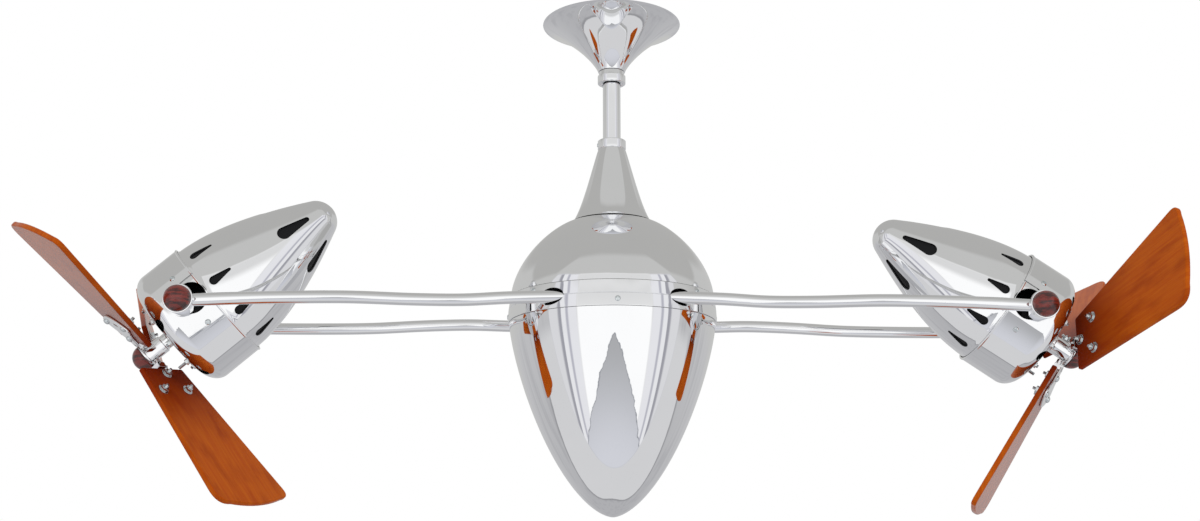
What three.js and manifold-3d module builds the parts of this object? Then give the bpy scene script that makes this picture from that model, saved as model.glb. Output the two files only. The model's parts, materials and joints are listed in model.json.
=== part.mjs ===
// Twin head ceiling fan: two tilting motor heads on a turning body under a short downrod.
// Millimetres, +Z up. The origin is the ceiling plane on the downrod's axis, +X runs along the
// arms and -Y is the front. The head in +X is the right head.

import * as THREE from 'three';
import { mergeVertices } from 'three/addons/utils/BufferGeometryUtils.js';
import Module from 'manifold-3d';

const wasm = await Module();
wasm.setup();

// ---------------------------------------------------------------- driving dimensions

const GAP = 0.3; // clearance between pieces that meet
const SHELL_WALL = 2; // spun bodies: dome, lower shell and neck bell

// Sides of the turned pieces, by size
const LARGE_SIDES = 20;
const HEAD_SIDES = 16;
const ROUND_SIDES = 12;
const TUBE_SIDES = 8;
const SCREW_SIDES = 5;

// Downrod, half inch pipe
const ROD_RADIUS = 10.65;
const ROD_WALL = 2.65;
const ROD_TOP = -14;
const ROD_BOTTOM = -395;

// Ceiling bracket
const PLATE_LENGTH = 90;
const PLATE_WIDTH = 38;
const PLATE_THICKNESS = 3;
const SLOT_SPACING = 70;
const SLOT_LENGTH = 14;
const SLOT_WIDTH = 5;
const WIRE_HOLE_RADIUS = 5;
const WIRE_HOLE_OFFSET = 13;
const STRAP_WIDTH = 30;
const STRAP_THICKNESS = 3;
const STRAP_ROOM = 5; // free space between the hanger ball and each strap leg

// Hanger ball and its pin
const BALL_RADIUS = 17.5;
const BALL_HEIGHT = -22;
const SEAT_DROP = 9; // from the ball's centre to the top of its seat
const PIN_RADIUS = 2.5;
const PIN_DROP = 2; // the pin lies this far under the ball's centre

// Canopy, a flared cover against the ceiling, and the collar that holds it up
const CANOPY_RIM_RADIUS = 83.5;
const CANOPY_FOOT_RADIUS = 16.3;
const CANOPY_DEPTH = 60;
const CANOPY_WALL = 1.6;
const CANOPY_CEILING_GAP = 0.5;
const CANOPY_FLARE = [1.274, 1.275];
const CANOPY_HOLE_RADIUS = 13;
const COLLAR_RADIUS = 16.8;
const CANOPY_COLLAR_HEIGHT = 15;
const CANOPY_COLLAR_STEP = 5.2;
const CANOPY_COLLAR_STEP_RADIUS = 15.3;
const COUNTERBORE_RADIUS = 13.4;
const COUNTERBORE_DEPTH = 3;

// Neck bell, fixed on the downrod over the turning dome
const NECK_TOP = -147.5;
const NECK_COLLAR_HEIGHT = 10.5;
const BELL_NECK_RADIUS = 16;
const BELL_FOOT_RADIUS = 48;
const BELL_FLARE = [1.122, 0.667];
const BELL_BORE_LENGTH = 17.5;
const BELL_FOOT_GAP = 1.1;
const SET_SCREW_RADIUS = 2.2;
const SET_SCREW_PROUD = 0.6;
const NECK_SCREW_ANGLE = 180;
const CANOPY_SCREW_ANGLE = 90;

// Slip ring, bearings and nut on the downrod
const SLIP_RING_RADIUS = 22;
const SLIP_RING_TOP = -300;
const SLIP_RING_LENGTH = 28;
const SPACER_RADIUS = 14;
const BEARING_TOP = -342;
const BEARING_HEIGHT = 10;
const BEARING_SPACING = 20;
const BEARING_RADIUS = 19.7;
const NUT_RADIUS = 18;
const NUT_HEIGHT = 10;

// Turning body: dome, band and lower shell
const DOME_TOP = -250;
const DOME_LIP = -340.3;
const DOME_RADIUS = 118.4;
const DOME_BULGE = [1.342, 1.72];
const CROWN_HOLE_RADIUS = 20;
const BAND_HEIGHT = 29.5;
const BAND_BORE_RADIUS = 118;
const BAND_TOP_RADIUS = 119;
const BAND_LINE_RADIUS = 121;
const BAND_LINE_DROP = 14.9;
const BAND_FOOT_RADIUS = 121.7;
const SHELL_RADIUS = 120.2;
const SHELL_DEPTH = 221.6;
const SHELL_BULGE = [1.682, 1.339];
const SPIGOT_WALL = 1.9;
const DOME_SPIGOT_LENGTH = 11.7;
const SHELL_SPIGOT_LENGTH = 13.4;

// Screws round the band: four low ones on the axes, four high ones beside the arms
const BAND_SCREW_RADIUS = 1.6;
const BAND_SCREW_HEAD_RADIUS = 3.2;
const BAND_SCREW_HEAD_HEIGHT = 1.3;
const SCREW_SINK = 1; // a head's foot lies this deep in the round surface it sits on
const LOW_SCREW_DROP = 22.2;
const HIGH_SCREW_DROP = 5.4;
const HIGH_SCREW_ANGLE = 40;

// Arm carrier inside the body
const CARRIER_BOSS_RADIUS = 30;
const CARRIER_BOSS_TOP = -338;
const CARRIER_FOOT = -374;
const CARRIER_BAR_HEIGHT = 10;
const CARRIER_BAR_WIDTH = 24;
const CARRIER_RIM_WALL = 3;
const CARRIER_RIM_TOP = -343;
const CARRIER_RIM_HEIGHT = 27;
const BEARING_SHOULDER_RADIUS = 12.5;
const CLAMP_LENGTH = 76;
const CLAMP_WIDTH = 20;
const CLAMP_HEIGHT = 24;

// Brush holder beside the slip ring
const BRUSH_LENGTH = 12;
const BRUSH_WIDTH = 16;
const BRUSH_HEIGHT = 18;
const BRUSH_LEG_WIDTH = 10;
const BRUSH_LEG_INSET = 2;

// Arms: one bent tube each, with a brazed end collar round the head's pivot
const ARM_RADIUS = 7;
const ARM_WALL = 1.4;
const ARM_SIDES = 8;
const ARM_BORE_SIDES = 5;
const ARM_STEPS = 14;
const ARM_START = 18;
const ARM_SPREAD = 96; // from the middle plane to an arm where it enters the body
const ARM_HEIGHT = -356.4;
const ARM_EXIT_RADIUS = 9.8;
const PIVOT_REACH = 477;
const PIVOT_HEIGHT = -362;
const FERRULE_RADIUS = 16.3;
const FERRULE_LENGTH = 21.1;
const FERRULE_INNER_FACE = 80.5;
const FERRULE_RECESS_DEPTH = 8;
const FERRULE_RIM = 2.4;
const PIVOT_PIN_RADIUS = 4;
const PIVOT_PIN_LENGTH = 40;
const PIVOT_PIN_END = 107;
const PIVOT_PLAY = 1.4; // between a pivot pin and the ferrule's web

// Turning knobs, wooden half balls on the pivot pins
const KNOB_RADIUS = 14.7;
const KNOB_SKIRT_LENGTH = 7.5;
const KNOB_PLAY = 0.75; // between a knob's skirt and the ferrule's recess
const KNOB_BORE_END = 108;

// Heads: tilt of each axis above the level, nose towards the body
const LEFT_TILT = 41;
const RIGHT_TILT = 34;

// Motor cup
const CUP_RADIUS = 73.6;
const CUP_WALL = 1.8;
const CUP_LIP = 27.4;
const CUP_FACE = -40;
const CUP_CORNER_DEPTH = 20;
const CUP_CORNER_WIDTH = 25;
const CUP_BEAD = 0.8;
const CUP_BEAD_HEIGHT = 2;
const CUP_FACE_HOLE_RADIUS = 14;
const PIVOT_OPENING_RADIUS = 18;
const PIVOT_OPENING_PLACE = 9; // of its middle along the motor's axis
const SLIT_WIDTH = 1.5;
const SLIT_ANGLE = 73.5;
const SLIT_START = 9;
const VENT_COUNT = 5;
const VENT_WIDTH = 15;
const VENT_LENGTH = 18;
const VENT_FIRST_ANGLE = 18;
const VENT_SLOPE = 60.7; // of the vent's axis to the motor's cross plane, degrees
const VENT_INSET = 13.6; // of the vent's middle inside the cup's outside
const VENT_PLACE = -33;

// Nose shell
const NOSE_WALL = 1.8;
const NOSE_BASE = 30;
const NOSE_BASE_STEP = 1; // of the flank's start inside the skirt's outside
const NOSE_BALL_RADIUS = 24.8;
const NOSE_BALL_PLACE = 170.1;
const NOSE_BALL_START = 25; // degrees above the ball's widest ring where the flank meets it
const NOSE_BULGE = [0.974, 1.664];
const LIP_SLOTS = { count: 10, roundPlace: 40.5, roundRadius: 5.2, narrowPlace: 61, narrowRadius: 1.8 };
const LEFT_NOSE_TURN = 0; // of the nose in its cup, degrees
const RIGHT_NOSE_TURN = 36;
const TIP_SLOTS = { count: 5, roundPlace: 133, roundRadius: 7.5, narrowPlace: 163, narrowRadius: 2.9 };

// Motor frame: a hoop in the cup, spokes and a ring round the motor, and two pivot bosses
const HOOP_WALL = 4.7;
const HOOP_LOW = -6;
const HOOP_HEIGHT = 16;
const MOTOR_RING_WALL = 4.5;
const SPOKE_WIDTH = 9;
const PIVOT_BOSS_RADIUS = 8.5;
const CUP_SCREW_PLACE = 6.5;
const CUP_SCREW_ANGLE = 64;
const CUP_SCREW_HEAD_RADIUS = 3.4;
const CUP_SCREW_HEAD_HEIGHT = 1.8;

// Motor
const MOTOR_RADIUS = 47.7;
const MOTOR_LOW = -24;
const MOTOR_HEIGHT = 66;
const MOTOR_END_WALL = 4;
const ROTOR_RADIUS = 22.7;
const ROTOR_END_ROOM = 2;
const AIR_GAP = 0.5;
const STUD_COUNT = 8;
const STUD_CIRCLE_RADIUS = 42;
const STUD_RADIUS = 2;
const STUD_START = -22; // inside the motor's end wall
const SHORT_STUD_END = -46;
const LONG_STUD_END = -54;
const STUD_NUT_RADIUS = 4;
const STUD_NUT_HEIGHT = 3.2;
const STUD_FIRST_ANGLE = 22.5;
const LONG_STUD = 3; // which stud is the long one, counted from the top

// Rotor: shaft, hub and finial
const SHAFT_RADIUS = 5;
const SHAFT_END = -84;
const HUB_START = -44;
const HUB_COLLAR_RADIUS = 9;
const HUB_COLLAR_LENGTH = 7;
const HUB_RADIUS = 10.5;
const HUB_FLANGE_RADIUS = 14.8;
const HUB_FLANGE_START = -73.2;
const HUB_END = -75.7;
const FINIAL_RADIUS = 15.3;

// Blades, pitched about their own length and leaning slightly away from the head
const BLADE_COUNT = 3;
const BLADE_THICKNESS = 6;
const BLADE_PITCH = 23.5;
const BLADE_LEAN = 3.43;
const BLADE_PLACE = -69.2; // where the blade's plane meets the shaft's axis
const BLADE_ROOT = 24.5;
const BLADE_ROOT_HIGH = 32.3;
const BLADE_ROOT_LOW = -34.8;
const BLADE_REACH = 214;
const BLADE_TIP_HIGH = 82;
const BLADE_TIP_LOW = -42;
const BLADE_HIGH_CORNER = 14;
const BLADE_LOW_CORNER = 22;
const BLADE_TIP_BOW = 5;
const LEFT_BLADE_ANGLE = 167.3;
const RIGHT_BLADE_ANGLE = -68.5;
// How far each blade's turn, lean and pitch stand off its station on its hand-bent iron, degrees
const LEFT_BLADE_TRIMS = [[1.2, 1.6, -0.5], [0, 0, 0], [-1.1, -2.9, -6.6]];
const RIGHT_BLADE_TRIMS = [[1.9, 0.8, 0.7], [0, 0, 0], [0, 0.3, -4.5]];

// Blade irons and their fasteners
const IRON_THICKNESS = 2.5;
const IRON_STEM_RADIUS = 3.2;
const IRON_STEM_RISE = 1.5;
const IRON_BLOCK_START = 16.3;
const IRON_BLOCK_END = 23.5;
const IRON_BLOCK_WIDTH = 12;
const IRON_REACH = 71;
const IRON_HALF_WIDTH = 27;
const IRON_SLOT_LENGTH = 15;
const IRON_SLOT_WIDTH = 4.5;
const FASTENER_INNER_PLACE = 33;
const FASTENER_OUTER_PLACE = 57;
const FASTENER_SPREAD = 20;
const FASTENER_OFFSET = -2;
const FASTENER_RADIUS = 1.7;
const FASTENER_HEAD_RADIUS = 4;
const FASTENER_HEAD_HEIGHT = 2.4;
const FASTENER_END = 10;
const WASHER_RADIUS = 5.5;
const BLADE_NUT_HEIGHT = 3.8;

// ---------------------------------------------------------------- sizes that follow

const BORE_RADIUS = ROD_RADIUS + GAP;
const CANOPY_COLLAR_TOP = -CANOPY_DEPTH - GAP;
const CANOPY_COLLAR_BOTTOM = CANOPY_COLLAR_TOP - CANOPY_COLLAR_HEIGHT;
const CANOPY_SCREW_HEIGHT = (CANOPY_COLLAR_TOP - CANOPY_COLLAR_STEP
  + CANOPY_COLLAR_BOTTOM + COUNTERBORE_DEPTH) / 2;
const NECK_SCREW_HEIGHT = NECK_TOP - NECK_COLLAR_HEIGHT / 2;
const BAND_TOP = DOME_LIP - GAP;
const BAND_FOOT = BAND_TOP - BAND_HEIGHT;
const SHELL_TOP = BAND_FOOT - GAP;
const SPIGOT_RADIUS = BAND_BORE_RADIUS - GAP;
const SPIGOT_BORE = SPIGOT_RADIUS - SPIGOT_WALL;
const CARRIER_RIM_RADIUS = SPIGOT_BORE - GAP;
const LOWER_BEARING_TOP = BEARING_TOP - BEARING_SPACING;
const NUT_TOP = LOWER_BEARING_TOP - BEARING_HEIGHT - GAP;
const FERRULE_OUTER_FACE = FERRULE_INNER_FACE + FERRULE_LENGTH;
const FERRULE_RECESS_RADIUS = FERRULE_RADIUS - FERRULE_RIM;
const NOSE_SKIRT_RADIUS = CUP_RADIUS - CUP_WALL - 2 * GAP;
const NOSE_SKIRT_START = HOOP_LOW + HOOP_HEIGHT + GAP;
const NOSE_BASE_RADIUS = NOSE_SKIRT_RADIUS - NOSE_BASE_STEP;
const VENT_RADIUS = CUP_RADIUS - VENT_INSET;
const HOOP_RADIUS = NOSE_SKIRT_RADIUS;
const MOTOR_RING_BORE = MOTOR_RADIUS + GAP;
const SHAFT_BORE = SHAFT_RADIUS + GAP;
const IRON_BACK = -BLADE_THICKNESS / 2 - GAP - IRON_THICKNESS;

// ---------------------------------------------------------------- finishes

function finish(color, roughness, metalness) {
  return new THREE.MeshStandardMaterial({ color, roughness, metalness, flatShading: true });
}

const CHROME = finish(0xc8cbce, 0.08, 1);
const STEEL = finish(0x8d9094, 0.35, 1);
const BRASS = finish(0xb08d4a, 0.3, 1);
const BLACK_STEEL = finish(0x18181a, 0.5, 0.6);
const PHENOLIC = finish(0x3a2a20, 0.5, 0);
const BLADE_WOOD = finish(0xb0521a, 0.35, 0);
const DARK_WOOD = finish(0x5a231c, 0.25, 0);

// ---------------------------------------------------------------- shape helpers

function radians(degrees) {
  return THREE.MathUtils.degToRad(degrees);
}

/** Volume inside a closed indexed geometry, negative when its faces point in. */
function signedVolume(position, index) {
  const [a, b, c] = [new THREE.Vector3(), new THREE.Vector3(), new THREE.Vector3()];
  let sum = 0;
  for (let i = 0; i < index.length; i += 3) {
    a.fromBufferAttribute(position, index[i]);
    b.fromBufferAttribute(position, index[i + 1]);
    c.fromBufferAttribute(position, index[i + 2]);
    sum += a.dot(b.cross(c)) / 6;
  }
  return sum;
}

/** The triangles of an index whose three corners all differ, facing out. */
function soundTriangles(position, index) {
  const triangles = [];
  for (let i = 0; i < index.length; i += 3) {
    const [a, b, c] = [index[i], index[i + 1], index[i + 2]];
    if (a !== b && b !== c && c !== a) triangles.push(a, b, c);
  }
  return signedVolume(position, triangles) < 0 ? triangles.reverse() : triangles;
}

/** A closed geometry as a solid that can be joined and cut. */
function solidOf(geometry) {
  let merged = geometry;
  if (!geometry.userData.merged) {
    merged = geometry.clone();
    merged.deleteAttribute('normal');
    merged.deleteAttribute('uv');
    merged = mergeVertices(merged);
  }
  const position = merged.getAttribute('position');
  const triangles = soundTriangles(position, Array.from(merged.index.array));
  return new wasm.Manifold(new wasm.Mesh({
    numProp: 3,
    vertProperties: Float32Array.from(position.array),
    triVerts: Uint32Array.from(triangles),
  }));
}

function geometryOf(solid) {
  const mesh = solid.getMesh();
  const geometry = new THREE.BufferGeometry();
  geometry.setAttribute('position', new THREE.BufferAttribute(mesh.vertProperties, 3));
  geometry.setIndex(new THREE.BufferAttribute(mesh.triVerts, 1));
  geometry.userData.merged = true;
  return geometry;
}

function join(...geometries) {
  const [first, ...others] = geometries.map(solidOf);
  return geometryOf(others.reduce((sum, solid) => sum.add(solid), first));
}

function cut(geometry, ...tools) {
  return geometryOf(tools.map(solidOf).reduce((rest, tool) => rest.subtract(tool), solidOf(geometry)));
}

/** A solid of revolution about Z from [radius, height] points. */
function turned(profile, sides) {
  const points = profile.map(([radius, height]) => new THREE.Vector2(radius, height));
  const endsOnAxis = points[0].x === 0 && points.at(-1).x === 0;
  if (!endsOnAxis) points.push(points[0].clone());
  return new THREE.LatheGeometry(points, sides).rotateX(Math.PI / 2);
}

function disc(radius, low, high, sides) {
  return turned([[0, low], [radius, low], [radius, high], [0, high]], sides);
}

function ring(bore, radius, low, high, sides) {
  return turned([[bore, low], [radius, low], [radius, high], [bore, high]], sides);
}

/** A box from its lowest and highest corners. */
function block(low, high) {
  const size = high.map((value, i) => value - low[i]);
  const middle = high.map((value, i) => (value + low[i]) / 2);
  return new THREE.BoxGeometry(...size).translate(...middle);
}

/** A geometry that stands on +Z, turned to stand on the X or Y axis on the given side. */
function alongX(geometry, side = 1) {
  return geometry.clone().rotateY(side * Math.PI / 2);
}

function alongY(geometry, side = 1) {
  return geometry.clone().rotateX(-side * Math.PI / 2);
}

/** A geometry that stands on +Z, laid along the radius at an angle, at a height. */
function radial(geometry, degrees, height) {
  return alongX(geometry).rotateZ(radians(degrees)).translate(0, 0, height);
}

/** Points from a wide end to a narrow end with (x / width)^a + (z / height)^b = 1. */
function bulge(wide, narrow, [a, b], steps) {
  return Array.from({ length: steps + 1 }, (_, i) => {
    const angle = (i / steps) * Math.PI / 2;
    const across = i === steps ? 0 : Math.cos(angle) ** (2 / a);
    const along = i === steps ? 1 : Math.sin(angle) ** (2 / b);
    return [
      narrow[0] + (wide[0] - narrow[0]) * across,
      wide[1] + (narrow[1] - wide[1]) * along,
    ];
  });
}

/** Points on an arc about a centre, from one angle to another in degrees. */
function arc([centreX, centreY], radius, from, to, steps) {
  return Array.from({ length: steps + 1 }, (_, i) => {
    const angle = radians(from + (to - from) * i / steps);
    return [centreX + radius * Math.cos(angle), centreY + radius * Math.sin(angle)];
  });
}

/** A line of points moved sideways by a wall, to its right as it is followed. */
function inset(points, wall) {
  return points.map(([radius, height], i) => {
    const before = points[Math.max(i - 1, 0)];
    const after = points[Math.min(i + 1, points.length - 1)];
    const across = after[0] - before[0];
    const along = after[1] - before[1];
    const length = Math.hypot(across, along);
    return [Math.max(radius + wall * along / length, 0), height - wall * across / length];
  });
}

function shapeOf(points) {
  return new THREE.Shape(points.map(([x, y]) => new THREE.Vector2(x, y)));
}

function polygon(radius, sides) {
  return arc([0, 0], radius, 0, 360 * (sides - 1) / sides, sides - 1);
}

/** A flat shape given its thickness, from a low to a high level. */
function slab(shape, low, high) {
  const depth = high - low;
  return new THREE.ExtrudeGeometry(shape, { depth, bevelEnabled: false, steps: 1 }).translate(0, 0, low);
}

/** A stadium outline along X, centred on a point. */
function stadium(x, y, length, width, steps) {
  const reach = (length - width) / 2;
  return shapeOf([
    ...arc([x + reach, y], width / 2, -90, 90, steps),
    ...arc([x - reach, y], width / 2, 90, 270, steps),
  ]);
}

function piece(name, geometry, material) {
  const mesh = new THREE.Mesh(geometryOf(solidOf(geometry)), material);
  mesh.name = name;
  return mesh;
}

// ---------------------------------------------------------------- fixed pieces

function ceilingBracket() {
  const legInside = BALL_RADIUS + STRAP_ROOM;
  const legOutside = legInside + STRAP_THICKNESS;
  const seatTop = BALL_HEIGHT - SEAT_DROP;
  const seatFoot = seatTop - STRAP_THICKNESS;
  const seatRadius = Math.sqrt(BALL_RADIUS ** 2 - SEAT_DROP ** 2) + GAP;
  const halfLength = PLATE_LENGTH / 2;
  const halfWidth = PLATE_WIDTH / 2;
  const halfStrap = STRAP_WIDTH / 2;
  const plate = block([-halfLength, -halfWidth, -PLATE_THICKNESS], [halfLength, halfWidth, 0]);
  const strap = block([-legOutside, -halfStrap, seatFoot], [legOutside, halfStrap, -PLATE_THICKNESS]);
  const room = block([-legInside, -PLATE_WIDTH, seatTop], [legInside, PLATE_WIDTH, -PLATE_THICKNESS]);
  const slots = [-1, 1].map((side) => slab(
    stadium(side * SLOT_SPACING / 2, 0, SLOT_LENGTH, SLOT_WIDTH, 4), -2 * PLATE_THICKNESS, 1));
  return cut(
    join(plate, cut(strap, room)),
    disc(seatRadius, seatFoot - 1, seatTop + 1, LARGE_SIDES),
    disc(WIRE_HOLE_RADIUS, -2 * PLATE_THICKNESS, 1, TUBE_SIDES).translate(WIRE_HOLE_OFFSET, 0, 0),
    ...slots);
}

function hangerPinHole() {
  return alongX(disc(PIN_RADIUS + GAP, -2 * BALL_RADIUS, 2 * BALL_RADIUS, TUBE_SIDES))
    .translate(0, 0, BALL_HEIGHT - PIN_DROP);
}

function hangerBall() {
  const foot = THREE.MathUtils.radToDeg(-Math.acos(BORE_RADIUS / BALL_RADIUS));
  const top = THREE.MathUtils.radToDeg(Math.asin((ROD_TOP - BALL_HEIGHT) / BALL_RADIUS));
  const outline = arc([0, BALL_HEIGHT], BALL_RADIUS, foot, top, 4);
  return cut(turned([[BORE_RADIUS, ROD_TOP], ...outline], HEAD_SIDES), hangerPinHole());
}

function hangerPin() {
  const halfLength = Math.sqrt(BALL_RADIUS ** 2 - PIN_DROP ** 2) - 2 * GAP;
  return alongX(disc(PIN_RADIUS, -halfLength, halfLength, TUBE_SIDES))
    .translate(0, 0, BALL_HEIGHT - PIN_DROP);
}

function downrod() {
  const tube = ring(ROD_RADIUS - ROD_WALL, ROD_RADIUS, ROD_BOTTOM, ROD_TOP, ROUND_SIDES);
  return cut(tube, hangerPinHole());
}

function canopy() {
  const foot = [CANOPY_FOOT_RADIUS, -CANOPY_DEPTH];
  const rim = [CANOPY_RIM_RADIUS, -CANOPY_CEILING_GAP];
  const outside = [[CANOPY_HOLE_RADIUS, -CANOPY_DEPTH], ...bulge(foot, rim, CANOPY_FLARE, 5)];
  const inside = inset(outside, -CANOPY_WALL).slice(0, -1);
  const capped = inside.map(([radius, height]) => [radius, Math.min(height, rim[1])]);
  return turned([...outside, ...capped.reverse()], LARGE_SIDES);
}

function setScrewHole(height, degrees) {
  return radial(disc(SET_SCREW_RADIUS + GAP, 0, 2 * COLLAR_RADIUS, TUBE_SIDES), degrees, height);
}

function canopyCollar() {
  const stepLevel = CANOPY_COLLAR_TOP - CANOPY_COLLAR_STEP;
  const boreFoot = CANOPY_COLLAR_BOTTOM + COUNTERBORE_DEPTH;
  const body = turned([
    [BORE_RADIUS, CANOPY_COLLAR_TOP],
    [CANOPY_COLLAR_STEP_RADIUS, CANOPY_COLLAR_TOP],
    [CANOPY_COLLAR_STEP_RADIUS, stepLevel],
    [COLLAR_RADIUS, stepLevel],
    [COLLAR_RADIUS, CANOPY_COLLAR_BOTTOM],
    [COUNTERBORE_RADIUS, CANOPY_COLLAR_BOTTOM],
    [COUNTERBORE_RADIUS, boreFoot],
    [BORE_RADIUS, boreFoot],
  ], ROUND_SIDES);
  return cut(body, setScrewHole(CANOPY_SCREW_HEIGHT, CANOPY_SCREW_ANGLE));
}

function neckBell() {
  const collarFoot = NECK_TOP - NECK_COLLAR_HEIGHT;
  const foot = [BELL_FOOT_RADIUS, DOME_TOP + BELL_FOOT_GAP];
  const boreFoot = NECK_TOP - BELL_BORE_LENGTH;
  const flare = bulge(foot, [BELL_NECK_RADIUS, collarFoot], BELL_FLARE, 5).reverse();
  const inside = inset(flare, SHELL_WALL)
    .filter(([, height]) => height < boreFoot - SHELL_WALL)
    .map(([radius, height]) => [radius, Math.max(height, foot[1])]);
  const outline = [
    [BORE_RADIUS, NECK_TOP],
    [COLLAR_RADIUS, NECK_TOP],
    [COLLAR_RADIUS, collarFoot],
    ...flare,
    ...inside.slice(0, -1).reverse(),
    [BORE_RADIUS, boreFoot],
  ];
  return cut(turned(outline, HEAD_SIDES), setScrewHole(NECK_SCREW_HEIGHT, NECK_SCREW_ANGLE));
}

/** A grub screw in a collar, from the rod's face out, turned round the rod by an angle. */
function setScrew(height, degrees) {
  const end = COLLAR_RADIUS + SET_SCREW_PROUD;
  return radial(disc(SET_SCREW_RADIUS, BORE_RADIUS, end, TUBE_SIDES), degrees, height);
}

function slipRing() {
  const drumFoot = SLIP_RING_TOP - SLIP_RING_LENGTH;
  const spacerFoot = BEARING_TOP + GAP;
  return turned([
    [BORE_RADIUS, SLIP_RING_TOP],
    [SLIP_RING_RADIUS, SLIP_RING_TOP],
    [SLIP_RING_RADIUS, drumFoot],
    [SPACER_RADIUS, drumFoot],
    [SPACER_RADIUS, spacerFoot],
    [BORE_RADIUS, spacerFoot],
  ], ROUND_SIDES);
}

function axleBearing(top) {
  return ring(BORE_RADIUS, BEARING_RADIUS, top - BEARING_HEIGHT, top, ROUND_SIDES);
}

function rodNut() {
  const hexagon = disc(NUT_RADIUS, NUT_TOP - NUT_HEIGHT, NUT_TOP, 6);
  return cut(hexagon, disc(BORE_RADIUS, NUT_TOP - 2 * NUT_HEIGHT, NUT_TOP + 1, ROUND_SIDES));
}

// ---------------------------------------------------------------- turning body

/** Where the screws of the band stand: their angle and height. */
function bandScrewPlaces() {
  const low = [0, 90, 180, 270].map((angle) => [angle, BAND_TOP - LOW_SCREW_DROP]);
  const high = [1, -1].flatMap((side) => [
    [side * HIGH_SCREW_ANGLE, BAND_TOP - HIGH_SCREW_DROP],
    [180 - side * HIGH_SCREW_ANGLE, BAND_TOP - HIGH_SCREW_DROP],
  ]);
  return [...low, ...high];
}

function armExitHoles() {
  return [-1, 1].flatMap((row) => [-1, 1].map((side) => alongX(
    disc(ARM_EXIT_RADIUS, CLAMP_LENGTH / 2 + GAP, 2 * DOME_RADIUS, TUBE_SIDES), side)
    .translate(0, row * ARM_SPREAD, ARM_HEIGHT)));
}

/** Tools that clear the band's screws and the arms in what lies inside the band. */
function bandHoles() {
  const from = CARRIER_RIM_RADIUS - 2 * CARRIER_RIM_WALL;
  const screwHoles = bandScrewPlaces().map(([angle, height]) => radial(
    disc(BAND_SCREW_RADIUS + GAP, from, BAND_FOOT_RADIUS + GAP, SCREW_SIDES), angle, height));
  return [...screwHoles, ...armExitHoles()];
}

/** The band's outer radius at a height. */
function bandRadius(height) {
  const drop = BAND_TOP - height;
  if (drop < BAND_LINE_DROP) {
    return BAND_TOP_RADIUS + (BAND_LINE_RADIUS - BAND_TOP_RADIUS) * drop / BAND_LINE_DROP;
  }
  const share = (drop - BAND_LINE_DROP) / (BAND_HEIGHT - BAND_LINE_DROP);
  return BAND_LINE_RADIUS + (BAND_FOOT_RADIUS - BAND_LINE_RADIUS) * share;
}

function headedScrew(start, surface, headRadius, headHeight) {
  const seat = surface - SCREW_SINK;
  return turned([
    [0, start],
    [BAND_SCREW_RADIUS, start],
    [BAND_SCREW_RADIUS, seat],
    [headRadius, seat],
    [headRadius / 2, surface + headHeight],
    [0, surface + headHeight],
  ], SCREW_SIDES);
}

function bandScrews() {
  return bandScrewPlaces().map(([angle, height]) => radial(
    headedScrew(CARRIER_RIM_RADIUS - CARRIER_RIM_WALL, bandRadius(height),
      BAND_SCREW_HEAD_RADIUS, BAND_SCREW_HEAD_HEIGHT),
    angle, height));
}

function dome() {
  const crown = [BELL_FOOT_RADIUS, DOME_TOP];
  const outside = [
    [CROWN_HOLE_RADIUS, DOME_TOP],
    ...bulge([DOME_RADIUS, DOME_LIP], crown, DOME_BULGE, 6).reverse(),
  ];
  const inside = inset(outside, SHELL_WALL).slice(0, -1);
  const skirtFoot = DOME_LIP - DOME_SPIGOT_LENGTH;
  const body = turned([
    ...outside,
    [SPIGOT_RADIUS, DOME_LIP],
    [SPIGOT_RADIUS, skirtFoot],
    [SPIGOT_BORE, skirtFoot],
    [SPIGOT_BORE, DOME_LIP + SHELL_WALL],
    ...inside.reverse(),
  ], LARGE_SIDES);
  return cut(body, ...bandHoles());
}

/** The band with the eight screws that hold it, the dome and the lower shell to the carrier. */
function ringBand() {
  const body = turned([
    [BAND_BORE_RADIUS, BAND_TOP],
    [BAND_TOP_RADIUS, BAND_TOP],
    [BAND_LINE_RADIUS, BAND_TOP - BAND_LINE_DROP],
    [BAND_FOOT_RADIUS, BAND_FOOT],
    [BAND_BORE_RADIUS, BAND_FOOT],
  ], LARGE_SIDES);
  return join(cut(body, ...armExitHoles()), ...bandScrews());
}

function lowerShell() {
  const outside = bulge([SHELL_RADIUS, SHELL_TOP], [0, SHELL_TOP - SHELL_DEPTH], SHELL_BULGE, 7);
  const inside = inset(outside, SHELL_WALL).slice(1);
  const spigotTop = SHELL_TOP + SHELL_SPIGOT_LENGTH;
  const body = turned([
    ...inside.reverse(),
    [SPIGOT_BORE, SHELL_TOP - SHELL_WALL],
    [SPIGOT_BORE, spigotTop],
    [SPIGOT_RADIUS, spigotTop],
    [SPIGOT_RADIUS, SHELL_TOP],
    ...outside,
  ], LARGE_SIDES);
  return cut(body, ...bandHoles());
}

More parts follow.
